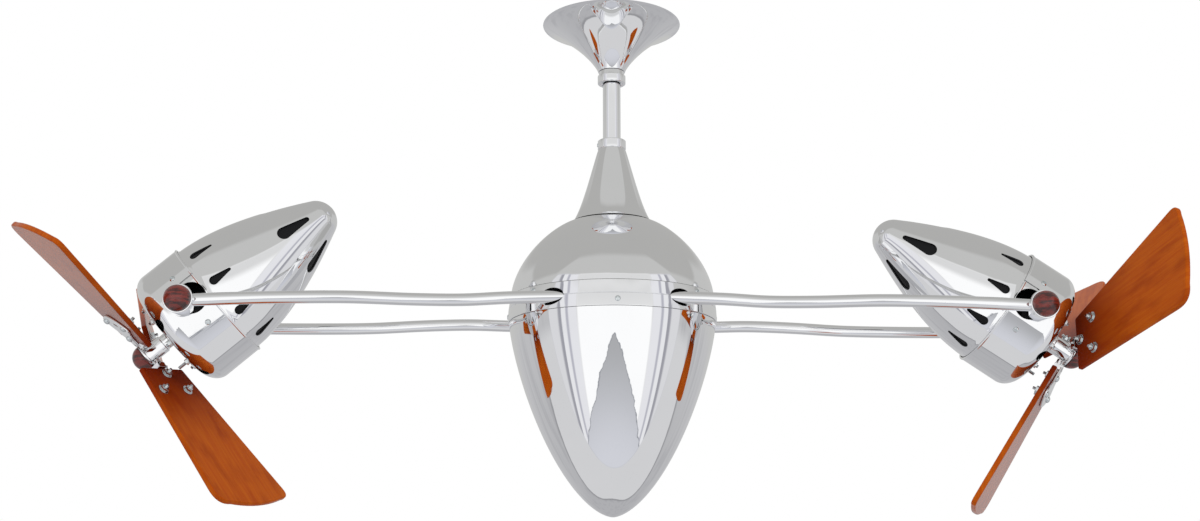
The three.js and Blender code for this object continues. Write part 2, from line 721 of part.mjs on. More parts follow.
function armCarrier() {
  const barTop = CARRIER_FOOT + CARRIER_BAR_HEIGHT;
  const barReach = CARRIER_RIM_RADIUS - 2 * CARRIER_RIM_WALL / 3;
  const halfBar = CARRIER_BAR_WIDTH / 2;
  const clampFoot = barTop - GAP - CARRIER_BAR_HEIGHT / 2;
  const rimTop = CARRIER_RIM_TOP;
  const shoulderTop = BEARING_TOP - BEARING_HEIGHT - GAP;
  const shoulderFoot = LOWER_BEARING_TOP + GAP;
  const clamps = [-1, 1].map((row) => block(
    [-CLAMP_LENGTH / 2, row * ARM_SPREAD - CLAMP_WIDTH / 2, clampFoot],
    [CLAMP_LENGTH / 2, row * ARM_SPREAD + CLAMP_WIDTH / 2, clampFoot + CLAMP_HEIGHT]));
  const body = join(
    disc(CARRIER_BOSS_RADIUS, CARRIER_FOOT, CARRIER_BOSS_TOP, HEAD_SIDES),
    block([-barReach, -halfBar, CARRIER_FOOT], [barReach, halfBar, barTop]),
    block([-halfBar, -barReach, CARRIER_FOOT], [halfBar, barReach, barTop]),
    ring(CARRIER_RIM_RADIUS - CARRIER_RIM_WALL, CARRIER_RIM_RADIUS,
      rimTop - CARRIER_RIM_HEIGHT, rimTop, LARGE_SIDES),
    ...clamps);
  const armBores = [-1, 1].map((row) => alongX(
    disc(ARM_RADIUS + 1.5 * GAP, -CLAMP_LENGTH, CLAMP_LENGTH, TUBE_SIDES))
    .translate(0, row * ARM_SPREAD, ARM_HEIGHT));
  const bearingBore = BEARING_RADIUS + 2 * GAP;
  return cut(
    body,
    disc(bearingBore, shoulderTop, CARRIER_BOSS_TOP + 1, HEAD_SIDES),
    disc(bearingBore, CARRIER_FOOT - 1, shoulderFoot, HEAD_SIDES),
    disc(BEARING_SHOULDER_RADIUS, CARRIER_FOOT, CARRIER_BOSS_TOP, HEAD_SIDES),
    ...armBores,
    ...bandHoles());
}

function brushHolder() {
  const face = SLIP_RING_RADIUS + GAP;
  const top = SLIP_RING_TOP - (SLIP_RING_LENGTH - BRUSH_HEIGHT) / 2;
  const foot = CARRIER_BOSS_TOP + GAP;
  return join(
    block([face, -BRUSH_WIDTH / 2, top - BRUSH_HEIGHT], [face + BRUSH_LENGTH, BRUSH_WIDTH / 2, top]),
    block(
      [face + BRUSH_LEG_INSET, -BRUSH_LEG_WIDTH / 2, foot],
      [face + BRUSH_LENGTH, BRUSH_LEG_WIDTH / 2, top - BRUSH_HEIGHT]));
}

/** The arm's centre line on the given side and row, from the clamp to the ferrule. */
function armRoute(side, row) {
  const entry = FERRULE_INNER_FACE + FERRULE_LENGTH / 2;
  const end = PIVOT_REACH - FERRULE_RADIUS + FERRULE_RIM;
  const plan = [
    [ARM_START, ARM_SPREAD],
    [CLAMP_LENGTH / 2 + ARM_RADIUS, ARM_SPREAD],
    [70, ARM_SPREAD - 0.5],
    [120, ARM_SPREAD - 4],
    [170, ARM_SPREAD - 14.5],
    [225, ARM_SPREAD - 9.5],
    [290, ARM_SPREAD + 5.5],
    [350, ARM_SPREAD + 7],
    [415, ARM_SPREAD + 2.6],
    [end, entry],
  ];
  const fall = (PIVOT_HEIGHT - ARM_HEIGHT) / (PIVOT_REACH - plan[1][0]);
  const points = plan.map(([x, y]) => new THREE.Vector3(
    side * x, row * y, ARM_HEIGHT + fall * Math.max(x - plan[1][0], 0)));
  return new THREE.CatmullRomCurve3(points, false, 'catmullrom', 0.5);
}

function arm(side, row) {
  const section = shapeOf(polygon(ARM_RADIUS, ARM_SIDES));
  section.holes.push(shapeOf(polygon(ARM_RADIUS - ARM_WALL, ARM_BORE_SIDES)));
  const tube = new THREE.ExtrudeGeometry(section, {
    extrudePath: armRoute(side, row), steps: ARM_STEPS, bevelEnabled: false });
  const place = (geometry) => alongY(geometry, row).translate(
    side * PIVOT_REACH, row * FERRULE_INNER_FACE, PIVOT_HEIGHT);
  const recessFloor = FERRULE_LENGTH - FERRULE_RECESS_DEPTH;
  return cut(
    join(tube, place(disc(FERRULE_RADIUS, 0, FERRULE_LENGTH, ROUND_SIDES))),
    place(disc(FERRULE_RECESS_RADIUS, recessFloor, FERRULE_LENGTH + 1, ROUND_SIDES)),
    place(disc(PIVOT_PIN_RADIUS + PIVOT_PLAY, -1, FERRULE_LENGTH, TUBE_SIDES)));
}

/** A knob on the front or back row: a half ball with a skirt in the ferrule's recess. */
function knob(side, row) {
  const seat = FERRULE_OUTER_FACE + GAP;
  const skirtEnd = FERRULE_OUTER_FACE - KNOB_SKIRT_LENGTH;
  const bore = PIVOT_PIN_RADIUS + 2 * GAP;
  const skirtRadius = FERRULE_RECESS_RADIUS - KNOB_PLAY;
  const half = arc([0, seat], KNOB_RADIUS, 0, 90, 3).slice(0, -1);
  const body = turned([
    [0, KNOB_BORE_END],
    [bore, KNOB_BORE_END],
    [bore, skirtEnd],
    [skirtRadius, skirtEnd],
    [skirtRadius, seat],
    ...half,
    [0, seat + KNOB_RADIUS],
  ], ROUND_SIDES);
  return alongY(body, row).translate(side * PIVOT_REACH, 0, PIVOT_HEIGHT);
}

// ---------------------------------------------------------------- heads, along +Z to the nose

function cupScrewAngles() {
  return [CUP_SCREW_ANGLE, 180 - CUP_SCREW_ANGLE, -CUP_SCREW_ANGLE, CUP_SCREW_ANGLE - 180];
}

function cupScrewHoles() {
  return cupScrewAngles().map((angle) => radial(
    disc(BAND_SCREW_RADIUS + GAP, MOTOR_RADIUS + MOTOR_RING_WALL + 2, 2 * CUP_RADIUS, SCREW_SIDES),
    angle, CUP_SCREW_PLACE));
}

function studPlaces() {
  return Array.from({ length: STUD_COUNT }, (_, i) => {
    const angle = radians(STUD_FIRST_ANGLE + 360 * i / STUD_COUNT);
    return [STUD_CIRCLE_RADIUS * Math.cos(angle), STUD_CIRCLE_RADIUS * Math.sin(angle), i];
  });
}

function studHoles() {
  return studPlaces().map(([x, y]) => disc(
    STUD_RADIUS + GAP, CUP_FACE - CUP_WALL, CUP_FACE + 2 * CUP_WALL, SCREW_SIDES).translate(x, y, 0));
}

/** A tool that cuts an oval hole square through the cup's rounded corner. */
function ventTool(index) {
  const oval = new THREE.Shape(
    new THREE.EllipseCurve(0, 0, VENT_LENGTH / 2, VENT_WIDTH / 2, 0, 2 * Math.PI).getPoints(8).slice(0, -1));
  const half = CUP_CORNER_DEPTH / 2;
  return slab(oval, -half, half)
    .rotateY(radians(VENT_SLOPE - 90))
    .translate(VENT_RADIUS, 0, VENT_PLACE)
    .rotateZ(radians(VENT_FIRST_ANGLE + 360 * index / VENT_COUNT));
}

/** A tool across the head for the openings that the pivots pass, wider by a margin. */
function pivotOpening(margin) {
  return alongY(disc(PIVOT_OPENING_RADIUS + margin, -2 * CUP_RADIUS, 2 * CUP_RADIUS, HEAD_SIDES))
    .translate(0, 0, PIVOT_OPENING_PLACE);
}

/** The cup with the four screws that hold it to the motor frame's hoop. */
function motorCup() {
  const cornerCentre = [CUP_RADIUS - CUP_CORNER_WIDTH, CUP_FACE + CUP_CORNER_DEPTH];
  const corner = (shrink) => arc([0, 0], 1, -90, 0, 3).map(([across, along]) => [
    cornerCentre[0] + (CUP_CORNER_WIDTH - shrink) * across,
    cornerCentre[1] + (CUP_CORNER_DEPTH - shrink) * along,
  ]);
  const bead = CUP_RADIUS + CUP_BEAD;
  const body = turned([
    [CUP_FACE_HOLE_RADIUS, CUP_FACE],
    ...corner(0),
    [CUP_RADIUS, CUP_LIP - CUP_BEAD_HEIGHT],
    [bead, CUP_LIP - CUP_BEAD_HEIGHT / 2],
    [bead, CUP_LIP],
    [CUP_RADIUS - CUP_WALL, CUP_LIP],
    ...corner(CUP_WALL).reverse(),
    [CUP_FACE_HOLE_RADIUS, CUP_FACE + CUP_WALL],
  ], HEAD_SIDES);
  const slits = [-1, 1].map((row) => block(
    [CUP_RADIUS - 4 * CUP_WALL, -SLIT_WIDTH / 2, SLIT_START],
    [CUP_RADIUS + 4 * CUP_WALL, SLIT_WIDTH / 2, CUP_LIP + 1])
    .rotateZ(radians(row * SLIT_ANGLE)));
  const shell = cut(
    body,
    pivotOpening(0),
    ...slits,
    ...Array.from({ length: VENT_COUNT }, (_, i) => ventTool(i)),
    ...studHoles());
  return join(shell, ...cupScrews());
}

/** A tool that cuts one row of drop-shaped slots, round end towards the cup. */
function slotTools({ count, roundPlace, roundRadius, narrowPlace, narrowRadius }, turn) {
  const taper = (roundRadius - narrowRadius) / (narrowPlace - roundPlace);
  const lean = THREE.MathUtils.radToDeg(Math.asin(taper));
  const outline = shapeOf([
    ...arc([roundPlace, 0], roundRadius, 90 - lean, 270 + lean, 3),
    ...arc([narrowPlace, 0], narrowRadius, lean - 90, 90 - lean, 1),
  ]);
  const drop = slab(outline, roundRadius, CUP_RADIUS + CUP_BEAD)
    .rotateY(-Math.PI / 2)
    .rotateZ(Math.PI);
  return Array.from({ length: count }, (_, i) => drop.clone()
    .rotateZ(radians(VENT_FIRST_ANGLE + turn + 360 * i / count)));
}

/** The nose, turned in its cup by an angle about the motor's axis. */
function noseShell(turn) {
  const ball = arc([0, NOSE_BALL_PLACE], NOSE_BALL_RADIUS, NOSE_BALL_START, 90, 2);
  const tip = [0, NOSE_BALL_PLACE + NOSE_BALL_RADIUS];
  const flank = bulge([NOSE_BASE_RADIUS, NOSE_BASE], ball[0], NOSE_BULGE, 4);
  const outside = [...flank, ball[1], tip];
  const inside = inset(outside, -NOSE_WALL);
  const skirtBore = NOSE_SKIRT_RADIUS - NOSE_WALL;
  const body = turned([
    ...inside.slice(1).reverse(),
    [skirtBore - NOSE_WALL / 2, NOSE_BASE],
    [skirtBore, CUP_LIP],
    [skirtBore, NOSE_SKIRT_START],
    [NOSE_SKIRT_RADIUS, NOSE_SKIRT_START],
    [NOSE_SKIRT_RADIUS, CUP_LIP + GAP],
    ...outside,
  ], HEAD_SIDES);
  return cut(
    body,
    pivotOpening(1),
    ...slotTools(LIP_SLOTS, turn),
    ...slotTools(TIP_SLOTS, turn));
}

function pivotPinHole() {
  const from = PIVOT_PIN_END - PIVOT_PIN_LENGTH - GAP;
  const hole = disc(PIVOT_PIN_RADIUS + GAP, from, PIVOT_PIN_END, TUBE_SIDES);
  return [alongY(hole, 1), alongY(hole, -1)];
}

function motorFrame() {
  const top = HOOP_LOW + HOOP_HEIGHT;
  const ringRadius = MOTOR_RING_BORE + MOTOR_RING_WALL;
  const spokeEnd = HOOP_RADIUS - HOOP_WALL / 2;
  const spokes = [0, 90, 180, 270].map((angle) => block(
    [ringRadius - MOTOR_RING_WALL / 2, -SPOKE_WIDTH / 2, HOOP_LOW],
    [spokeEnd, SPOKE_WIDTH / 2, top])
    .rotateZ(radians(angle)));
  const boss = disc(PIVOT_BOSS_RADIUS, HOOP_RADIUS - HOOP_WALL, FERRULE_INNER_FACE - GAP, ROUND_SIDES);
  return cut(
    join(
      ring(HOOP_RADIUS - HOOP_WALL, HOOP_RADIUS, HOOP_LOW, top, HEAD_SIDES),
      ring(MOTOR_RING_BORE, ringRadius, HOOP_LOW, top, HEAD_SIDES),
      ...spokes,
      alongY(boss, 1),
      alongY(boss, -1)),
    ...pivotPinHole(),
    ...cupScrewHoles());
}

function cupScrews() {
  return cupScrewAngles().map((angle) => radial(
    headedScrew(HOOP_RADIUS - HOOP_WALL, CUP_RADIUS, CUP_SCREW_HEAD_RADIUS, CUP_SCREW_HEAD_HEIGHT),
    angle, CUP_SCREW_PLACE));
}

/** The motor's can with its eight mounting studs, whose nuts hold the cup's face. */
function motorHousing() {
  const top = MOTOR_LOW + MOTOR_HEIGHT;
  const chamber = disc(ROTOR_RADIUS + AIR_GAP, MOTOR_LOW + MOTOR_END_WALL, top - MOTOR_END_WALL, HEAD_SIDES);
  return cut(
    join(disc(MOTOR_RADIUS, MOTOR_LOW, top, HEAD_SIDES), ...motorStuds()),
    chamber,
    disc(SHAFT_BORE, MOTOR_LOW - 1, MOTOR_LOW + 2 * MOTOR_END_WALL, ROUND_SIDES));
}

function pivotPin(row) {
  return alongY(disc(PIVOT_PIN_RADIUS, PIVOT_PIN_END - PIVOT_PIN_LENGTH, PIVOT_PIN_END, TUBE_SIDES), row);
}

function motorStuds() {
  const seat = CUP_FACE - GAP;
  return studPlaces().map(([x, y, i]) => {
    const end = i === LONG_STUD ? LONG_STUD_END : SHORT_STUD_END;
    return turned([
      [0, STUD_START],
      [STUD_RADIUS, STUD_START],
      [STUD_RADIUS, seat],
      [STUD_NUT_RADIUS, seat],
      [STUD_RADIUS, seat - STUD_NUT_HEIGHT],
      [STUD_RADIUS, end],
      [0, end],
    ], SCREW_SIDES).translate(x, y, 0);
  });
}

// ---------------------------------------------------------------- rotors

function rotorShaft() {
  const coreLow = MOTOR_LOW + MOTOR_END_WALL + ROTOR_END_ROOM;
  const coreTop = MOTOR_LOW + MOTOR_HEIGHT - MOTOR_END_WALL - ROTOR_END_ROOM;
  return turned([
    [0, coreTop],
    [ROTOR_RADIUS, coreTop],
    [ROTOR_RADIUS, coreLow],
    [SHAFT_RADIUS, coreLow],
    [SHAFT_RADIUS, SHAFT_END],
    [0, SHAFT_END],
  ], ROUND_SIDES);
}

function hub() {
  const collarEnd = HUB_START - HUB_COLLAR_LENGTH;
  return turned([
    [SHAFT_BORE, HUB_START],
    [HUB_COLLAR_RADIUS, HUB_START],
    [HUB_COLLAR_RADIUS, collarEnd],
    [HUB_RADIUS, collarEnd],
    [HUB_RADIUS, HUB_FLANGE_START],
    [HUB_FLANGE_RADIUS, HUB_FLANGE_START],
    [HUB_FLANGE_RADIUS, HUB_END],
    [SHAFT_BORE, HUB_END],
  ], ROUND_SIDES);
}

function finial() {
  const seat = HUB_END - GAP;
  return turned([
    [0, SHAFT_END - 1],
    [SHAFT_BORE, SHAFT_END - 1],
    [SHAFT_BORE, seat],
    ...arc([0, seat], FINIAL_RADIUS, 0, -90, 3).slice(0, -1),
    [0, seat - FINIAL_RADIUS],
  ], ROUND_SIDES);
}

/** Where the three fasteners of a blade stand: along the blade and across it. */
function fastenerPlaces() {
  return [
    [FASTENER_INNER_PLACE, 0],
    [FASTENER_OUTER_PLACE, FASTENER_OFFSET - FASTENER_SPREAD],
    [FASTENER_OUTER_PLACE, FASTENER_OFFSET + FASTENER_SPREAD],
  ];
}

function fastenerHoles() {
  return fastenerPlaces().map(([x, y]) => disc(
    FASTENER_RADIUS + 2 * GAP, -2 * BLADE_THICKNESS, 2 * BLADE_THICKNESS, SCREW_SIDES).translate(x, y, 0));
}

/** A blade lies along X with its width along Y, and turns its +Z face to the head. */
function blade() {
  const outline = new THREE.Shape();
  const high = new THREE.Vector2(BLADE_REACH, BLADE_TIP_HIGH);
  const low = new THREE.Vector2(BLADE_REACH, BLADE_TIP_LOW);
  const rootHigh = new THREE.Vector2(BLADE_ROOT, BLADE_ROOT_HIGH);
  const rootLow = new THREE.Vector2(BLADE_ROOT, BLADE_ROOT_LOW);
  const towards = (from, to, distance) => to.clone().sub(from).setLength(distance).add(from);
  const lowEdge = towards(low, rootLow, BLADE_LOW_CORNER);
  const highEdge = towards(high, rootHigh, BLADE_HIGH_CORNER);
  const tipLow = towards(low, high, BLADE_LOW_CORNER);
  const tipHigh = towards(high, low, BLADE_HIGH_CORNER);
  const bowMiddle = tipLow.clone().add(tipHigh).multiplyScalar(0.5);
  outline.moveTo(rootLow.x, rootLow.y);
  outline.lineTo(lowEdge.x, lowEdge.y);
  outline.quadraticCurveTo(low.x, low.y, tipLow.x, tipLow.y);
  outline.quadraticCurveTo(bowMiddle.x + 2 * BLADE_TIP_BOW, bowMiddle.y, tipHigh.x, tipHigh.y);
  outline.quadraticCurveTo(high.x, high.y, highEdge.x, highEdge.y);
  outline.lineTo(rootHigh.x, rootHigh.y);
  const body = new THREE.ExtrudeGeometry(outline, {
    depth: BLADE_THICKNESS, bevelEnabled: false, curveSegments: 3 });
  return cut(body.translate(0, 0, -BLADE_THICKNESS / 2), ...fastenerHoles());
}

/** The iron on a blade's outer face, with the three bolts that clamp the blade to it. */
function bladeIron() {
  const halfBlock = IRON_BLOCK_WIDTH / 2;
  const shoulder = (IRON_BLOCK_END + FASTENER_OUTER_PLACE) / 2 - 2;
  const middle = FASTENER_OFFSET;
  const side = (sign) => [
    new THREE.Vector2(IRON_BLOCK_START + IRON_THICKNESS, sign * halfBlock),
    new THREE.Vector2(shoulder, middle / 2 + sign * IRON_HALF_WIDTH * 0.5),
    new THREE.Vector2(FASTENER_OUTER_PLACE, middle + sign * IRON_HALF_WIDTH),
  ];
  const tip = new THREE.Vector2(IRON_REACH, middle);
  const edge = new THREE.SplineCurve([...side(-1), tip, ...side(1).reverse()]).getPoints(12);
  const leaf = slab(new THREE.Shape(edge), IRON_BACK, IRON_BACK + IRON_THICKNESS);
  const slot = slab(stadium(0, 0, IRON_SLOT_LENGTH, IRON_SLOT_WIDTH, 2), 2 * IRON_BACK, 0)
    .rotateZ(Math.PI / 2).translate(FASTENER_OUTER_PLACE, middle, 0);
  const stem = alongX(disc(IRON_STEM_RADIUS, HUB_RADIUS + GAP, IRON_BLOCK_END - 1, TUBE_SIDES))
    .translate(0, 0, IRON_STEM_RISE);
  const root = block(
    [IRON_BLOCK_START, -halfBlock, IRON_BACK],
    [IRON_BLOCK_END, halfBlock, IRON_STEM_RISE + IRON_STEM_RADIUS]);
  return join(cut(join(leaf, root, stem), slot), ...bladeFasteners());
}

function bladeFasteners() {
  const headSeat = IRON_BACK;
  const washerSeat = BLADE_THICKNESS / 2 + GAP;
  const nutTop = washerSeat + BLADE_NUT_HEIGHT;
  const bolt = turned([
    [0, headSeat - FASTENER_HEAD_HEIGHT],
    [FASTENER_HEAD_RADIUS, headSeat],
    [FASTENER_RADIUS, headSeat],
    [FASTENER_RADIUS, washerSeat],
    [WASHER_RADIUS, washerSeat],
    [FASTENER_RADIUS, nutTop],
    [FASTENER_RADIUS, FASTENER_END],
    [0, FASTENER_END],
  ], SCREW_SIDES);
  return fastenerPlaces().map(([x, y]) => bolt.clone().translate(x, y, 0));
}

/** Sets a blade's own frame on the shaft: pitched, leaning and turned to its station. */
function bladeStation(geometry, index, trims) {
  const [turn, lean, pitch] = trims[index];
  return geometry.clone()
    .rotateX(radians(BLADE_PITCH + pitch))
    .rotateY(radians(BLADE_LEAN + lean))
    .translate(0, 0, BLADE_PLACE)
    .rotateZ(radians(360 * index / BLADE_COUNT + turn));
}

// ---------------------------------------------------------------- assembly

function mountPieces() {
  const group = new THREE.Group();
  group.add(
    piece('ceiling_bracket', ceilingBracket(), STEEL),
    piece('hanger_ball', hangerBall(), BLACK_STEEL),
    piece('hanger_pin', hangerPin(), STEEL),
    piece('downrod', downrod(), CHROME),
    piece('canopy', canopy(), CHROME),
    piece('canopy_collar', canopyCollar(), CHROME),
    piece('neck_bell', neckBell(), CHROME),
    piece('canopy_set_screw', setScrew(CANOPY_SCREW_HEIGHT, CANOPY_SCREW_ANGLE), STEEL),
    piece('neck_set_screw', setScrew(NECK_SCREW_HEIGHT, NECK_SCREW_ANGLE), STEEL),
    piece('slip_ring', slipRing(), BRASS),
    piece('upper_bearing', axleBearing(BEARING_TOP), STEEL),
    piece('lower_bearing', axleBearing(LOWER_BEARING_TOP), STEEL),
    piece('rod_nut', rodNut(), STEEL));
  return group;
}

function carouselPieces() {
  const group = new THREE.Group();
  group.add(
    piece('dome', dome(), CHROME),
    piece('ring_band', ringBand(), CHROME),
    piece('lower_shell', lowerShell(), CHROME),
    piece('arm_carrier', armCarrier(), BLACK_STEEL),
    piece('brush_holder', brushHolder(), PHENOLIC));
  for (const [rowName, row] of [['front', -1], ['back', 1]]) {
    for (const [sideName, side] of [['left', -1], ['right', 1]]) {
      group.add(
        piece(`${rowName}_${sideName}_arm`, arm(side, row), CHROME),
        piece(`${rowName}_${sideName}_knob`, knob(side, row), DARK_WOOD));
    }
  }
  return group;
}

function rotorPieces(name, bladeAngle, trims) {
  const group = new THREE.Group();
  group.rotation.z = radians(bladeAngle);
  group.add(
    piece(`${name}_rotor_shaft`, rotorShaft(), STEEL),
    piece(`${name}_hub`, hub(), CHROME),
    piece(`${name}_finial`, finial(), DARK_WOOD));
  for (let index = 0; index < BLADE_COUNT; index += 1) {
    group.add(
      piece(`${name}_blade_iron_${index + 1}`, bladeStation(bladeIron(), index, trims), CHROME),
      piece(`${name}_blade_${index + 1}`, bladeStation(blade(), index, trims), BLADE_WOOD));
  }
  return group;
}

/** One head, nose along its own +Z. Its top side is its own +X, its front is frontRow along its own Y. */
function headPieces(name, { bladeAngle, trims, noseTurn }, frontRow) {
  const group = new THREE.Group();
  group.add(
    piece(`${name}_cup`, motorCup(), CHROME),
    piece(`${name}_nose_shell`, noseShell(noseTurn), CHROME),
    piece(`${name}_motor_frame`, motorFrame(), BLACK_STEEL),
    piece(`${name}_motor_housing`, motorHousing(), BLACK_STEEL),
    piece(`${name}_front_pin`, pivotPin(frontRow), STEEL),
    piece(`${name}_back_pin`, pivotPin(-frontRow), STEEL),
    rotorPieces(name, bladeAngle, trims));
  return group;
}

function placedHead(name, side, setting) {
  const group = headPieces(name, setting, -side);
  const turn = new THREE.Matrix4().makeRotationY(-side * radians(90 - setting.tilt));
  if (side < 0) turn.multiply(new THREE.Matrix4().makeRotationZ(Math.PI));
  group.quaternion.setFromRotationMatrix(turn);
  group.position.set(side * PIVOT_REACH, 0, PIVOT_HEIGHT);
  return group;
}

const fan = new THREE.Group();
fan.add(
  mountPieces(),
  carouselPieces(),
  placedHead('left', -1, {
    tilt: LEFT_TILT, bladeAngle: LEFT_BLADE_ANGLE, trims: LEFT_BLADE_TRIMS, noseTurn: LEFT_NOSE_TURN }),
  placedHead('right', 1, {
    tilt: RIGHT_TILT, bladeAngle: RIGHT_BLADE_ANGLE, trims: RIGHT_BLADE_TRIMS, noseTurn: RIGHT_NOSE_TURN }));

export default fan;
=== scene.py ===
"""Looks of a twin head ceiling fan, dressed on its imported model.

The fixed mount hangs from the ceiling plane, the body turns under it, and a
motor head tilts at the end of each pair of arms. Sizes are in millimetres in
the classes and in metres on the objects.
"""

import json
import logging
import math
from dataclasses import dataclass
from enum import Enum
from typing import Sequence

import bpy
from mathutils import Matrix, Vector

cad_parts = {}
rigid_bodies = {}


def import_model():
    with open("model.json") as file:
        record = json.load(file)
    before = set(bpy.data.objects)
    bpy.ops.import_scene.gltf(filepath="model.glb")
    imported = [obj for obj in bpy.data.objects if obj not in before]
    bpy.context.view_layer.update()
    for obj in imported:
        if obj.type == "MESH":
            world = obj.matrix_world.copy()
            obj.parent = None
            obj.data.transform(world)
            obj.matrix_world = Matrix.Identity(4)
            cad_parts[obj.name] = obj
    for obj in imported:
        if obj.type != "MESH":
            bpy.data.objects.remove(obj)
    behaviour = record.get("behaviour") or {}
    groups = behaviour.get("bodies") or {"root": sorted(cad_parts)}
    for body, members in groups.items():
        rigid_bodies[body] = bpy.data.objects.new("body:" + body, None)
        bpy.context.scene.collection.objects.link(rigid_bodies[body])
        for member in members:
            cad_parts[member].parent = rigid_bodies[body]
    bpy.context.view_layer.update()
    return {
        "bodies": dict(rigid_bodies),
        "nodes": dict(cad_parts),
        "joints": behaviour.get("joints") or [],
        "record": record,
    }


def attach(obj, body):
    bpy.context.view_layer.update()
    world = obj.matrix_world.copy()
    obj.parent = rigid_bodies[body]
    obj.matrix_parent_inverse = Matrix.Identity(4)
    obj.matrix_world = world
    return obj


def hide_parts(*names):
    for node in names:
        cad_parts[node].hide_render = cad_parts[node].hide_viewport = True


LOG = logging.getLogger("ceiling_fan")
MM = 0.001
GAP = 0.3

Point = tuple[float, float]
Triple = tuple[float, float, float]
Outline = list[Point]
Piece = bpy.types.Object


class Slot(Enum):
    """The material slots of the record."""

    CHROME = "chrome"
    STEEL = "steel"
    BRASS = "brass"
    BLACK_STEEL = "black_steel"
    PHENOLIC = "phenolic"
    BLADE_WOOD = "blade_wood"
    DARK_WOOD = "dark_wood"


class Side(Enum):
    """The two ends of the arms, with their sign along X."""

    LEFT = -1
    RIGHT = 1

    @property
    def word(self) -> str:
        """The side as it stands in the names of nodes and pieces."""
        return self.name.lower()


class Row(Enum):
    """The two rows of arms, with their sign along Y."""

    FRONT = -1
    BACK = 1

    @property
    def word(self) -> str:
        """The row as it stands in the names of nodes and pieces."""
        return self.name.lower()


# ---------------------------------------------------------------- outlines


def swell(wide: Point, narrow: Point, powers: Point, steps: int) -> Outline:
    """Draws the flank of a turned form from its wide end to its narrow end.

    Args:
        wide: Radius and height of the wide end.
        narrow: Radius and height of the narrow end.
        powers: Powers of the two shares that add up to one along the flank.
        steps: Number of steps along the flank.

    Returns:
        Points of radius and height.
    """
    points = []
    for i in range(steps + 1):
        angle = i / steps * math.pi / 2
        across = 0.0 if i == steps else math.cos(angle) ** (2 / powers[0])
        along = 1.0 if i == steps else math.sin(angle) ** (2 / powers[1])
        points.append((
            narrow[0] + (wide[0] - narrow[0]) * across, wide[1] + (narrow[1] - wide[1]) * along))
    return points


def swing(centre: Point, radii: Point, start: float, end: float, steps: int) -> Outline:
    """Draws an arc of a circle or an upright ellipse.

    Args:
        centre: Centre of the arc.
        radii: Half widths across and along.
        start: First angle in degrees.
        end: Last angle in degrees.
        steps: Number of steps along the arc.

    Returns:
        Points on the arc.
    """
    angles = [math.radians(start + (end - start) * i / steps) for i in range(steps + 1)]
    return [(centre[0] + radii[0] * math.cos(a), centre[1] + radii[1] * math.sin(a)) for a in angles]


def beside(points: Outline, wall: float) -> Outline:
    """Moves a line sideways by a wall, to its right as it is followed.

    Args:
        points: The line to follow.
        wall: Distance to the right.

    Returns:
        The moved line, kept on the positive side of the axis.
    """
    moved = []
    for i, (x, y) in enumerate(points):
        before, after = points[max(i - 1, 0)], points[min(i + 1, len(points) - 1)]
        across, along = after[0] - before[0], after[1] - before[1]
        length = math.hypot(across, along)
        moved.append((max(x + wall * along / length, 0.0), y - wall * across / length))
    return moved


def eased(corners: Sequence[Triple], closed: bool = True, steps: int = 3) -> Outline:
    """Rounds the corners of an outline.

    Args:
        corners: Each corner as x, y and its rounding.
        closed: Whether the last corner joins the first.
        steps: Number of steps round a corner.

    Returns:
        The outline with its roundings drawn in.
    """
    points: Outline = []
    count = len(corners)
    for i, (x, y, rounding) in enumerate(corners):
        inner = closed or 0 < i < count - 1
        if not rounding or not inner:
            points.append((x, y))
            continue
        here = Vector((x, y))
        before = Vector(corners[(i - 1) % count][:2]) - here
        after = Vector(corners[(i + 1) % count][:2]) - here
        enter = here + before.normalized() * min(rounding, before.length * 0.45)
        leave = here + after.normalized() * min(rounding, after.length * 0.45)
        for k in range(steps + 1):
            t = k / steps
            point = enter * (1 - t) ** 2 + here * 2 * t * (1 - t) + leave * t**2
            points.append((point.x, point.y))
    return points


def plain(points: Outline) -> list[Triple]:
    """Marks the points of a drawn curve as corners without a rounding."""
    return [(x, y, 0.0) for x, y in points]


def through(points: Sequence[Vector], steps: int) -> list[Vector]:
    """Draws a smooth line through points.

    Args:
        points: Points that the line passes.
        steps: Number of steps between two points.

    Returns:
        Points along the line.
    """
    ends = [points[0] * 2 - points[1], *points, points[-1] * 2 - points[-2]]
    line = []
    for i in range(1, len(ends) - 2):
        p0, p1, p2, p3 = ends[i - 1:i + 3]
        for k in range(steps):
            t = k / steps
            start, finish = (p2 - p0) * 0.5, (p3 - p1) * 0.5
            line.append(
                p1 * (2 * t**3 - 3 * t**2 + 1) + start * (t**3 - 2 * t**2 + t)
                + p2 * (3 * t**2 - 2 * t**3) + finish * (t**3 - t**2))
    line.append(points[-1].copy())
    return line


def stadium(x: float, y: float, length: float, width: float, steps: int = 8) -> Outline:
    """Draws a slot with round ends along X, centred on a point.

    Args:
        x: Middle along X.
        y: Middle along Y.
        length: Length over both ends.
        width: Width of the slot.
        steps: Number of steps round an end.

    Returns:
        The closed outline.
    """
    reach, radius = (length - width) / 2, width / 2
    return [
        *swing((x + reach, y), (radius, radius), -90, 90, steps),
        *swing((x - reach, y), (radius, radius), 90, 270, steps),
    ]


def ring(radius: float, count: int) -> Outline:
    """Draws a circle with a number of corners."""
    return swing((0, 0), (radius, radius), 0, 360 - 360 / count, count - 1)


def hexagon(width: float) -> Outline:
    """Draws a hexagon with the given width across its flats."""
    return ring(width / math.sqrt(3), 6)


def half_ball(radius: float, seat: float, sense: int) -> Outline:
    """Draws the flank of a half ball that stands on a short step.

    Args:
        radius: Radius of the ball.
        seat: Height that it stands on.
        sense: 1 for a ball above the seat and -1 for one below it.

    Returns:
        Points from the seat to the axis.
    """
    step = 0.4
    side = swing((0, seat + sense * step), (radius, radius - step), 0, 90 * sense, 20)
    return [(radius - step, seat), *side]


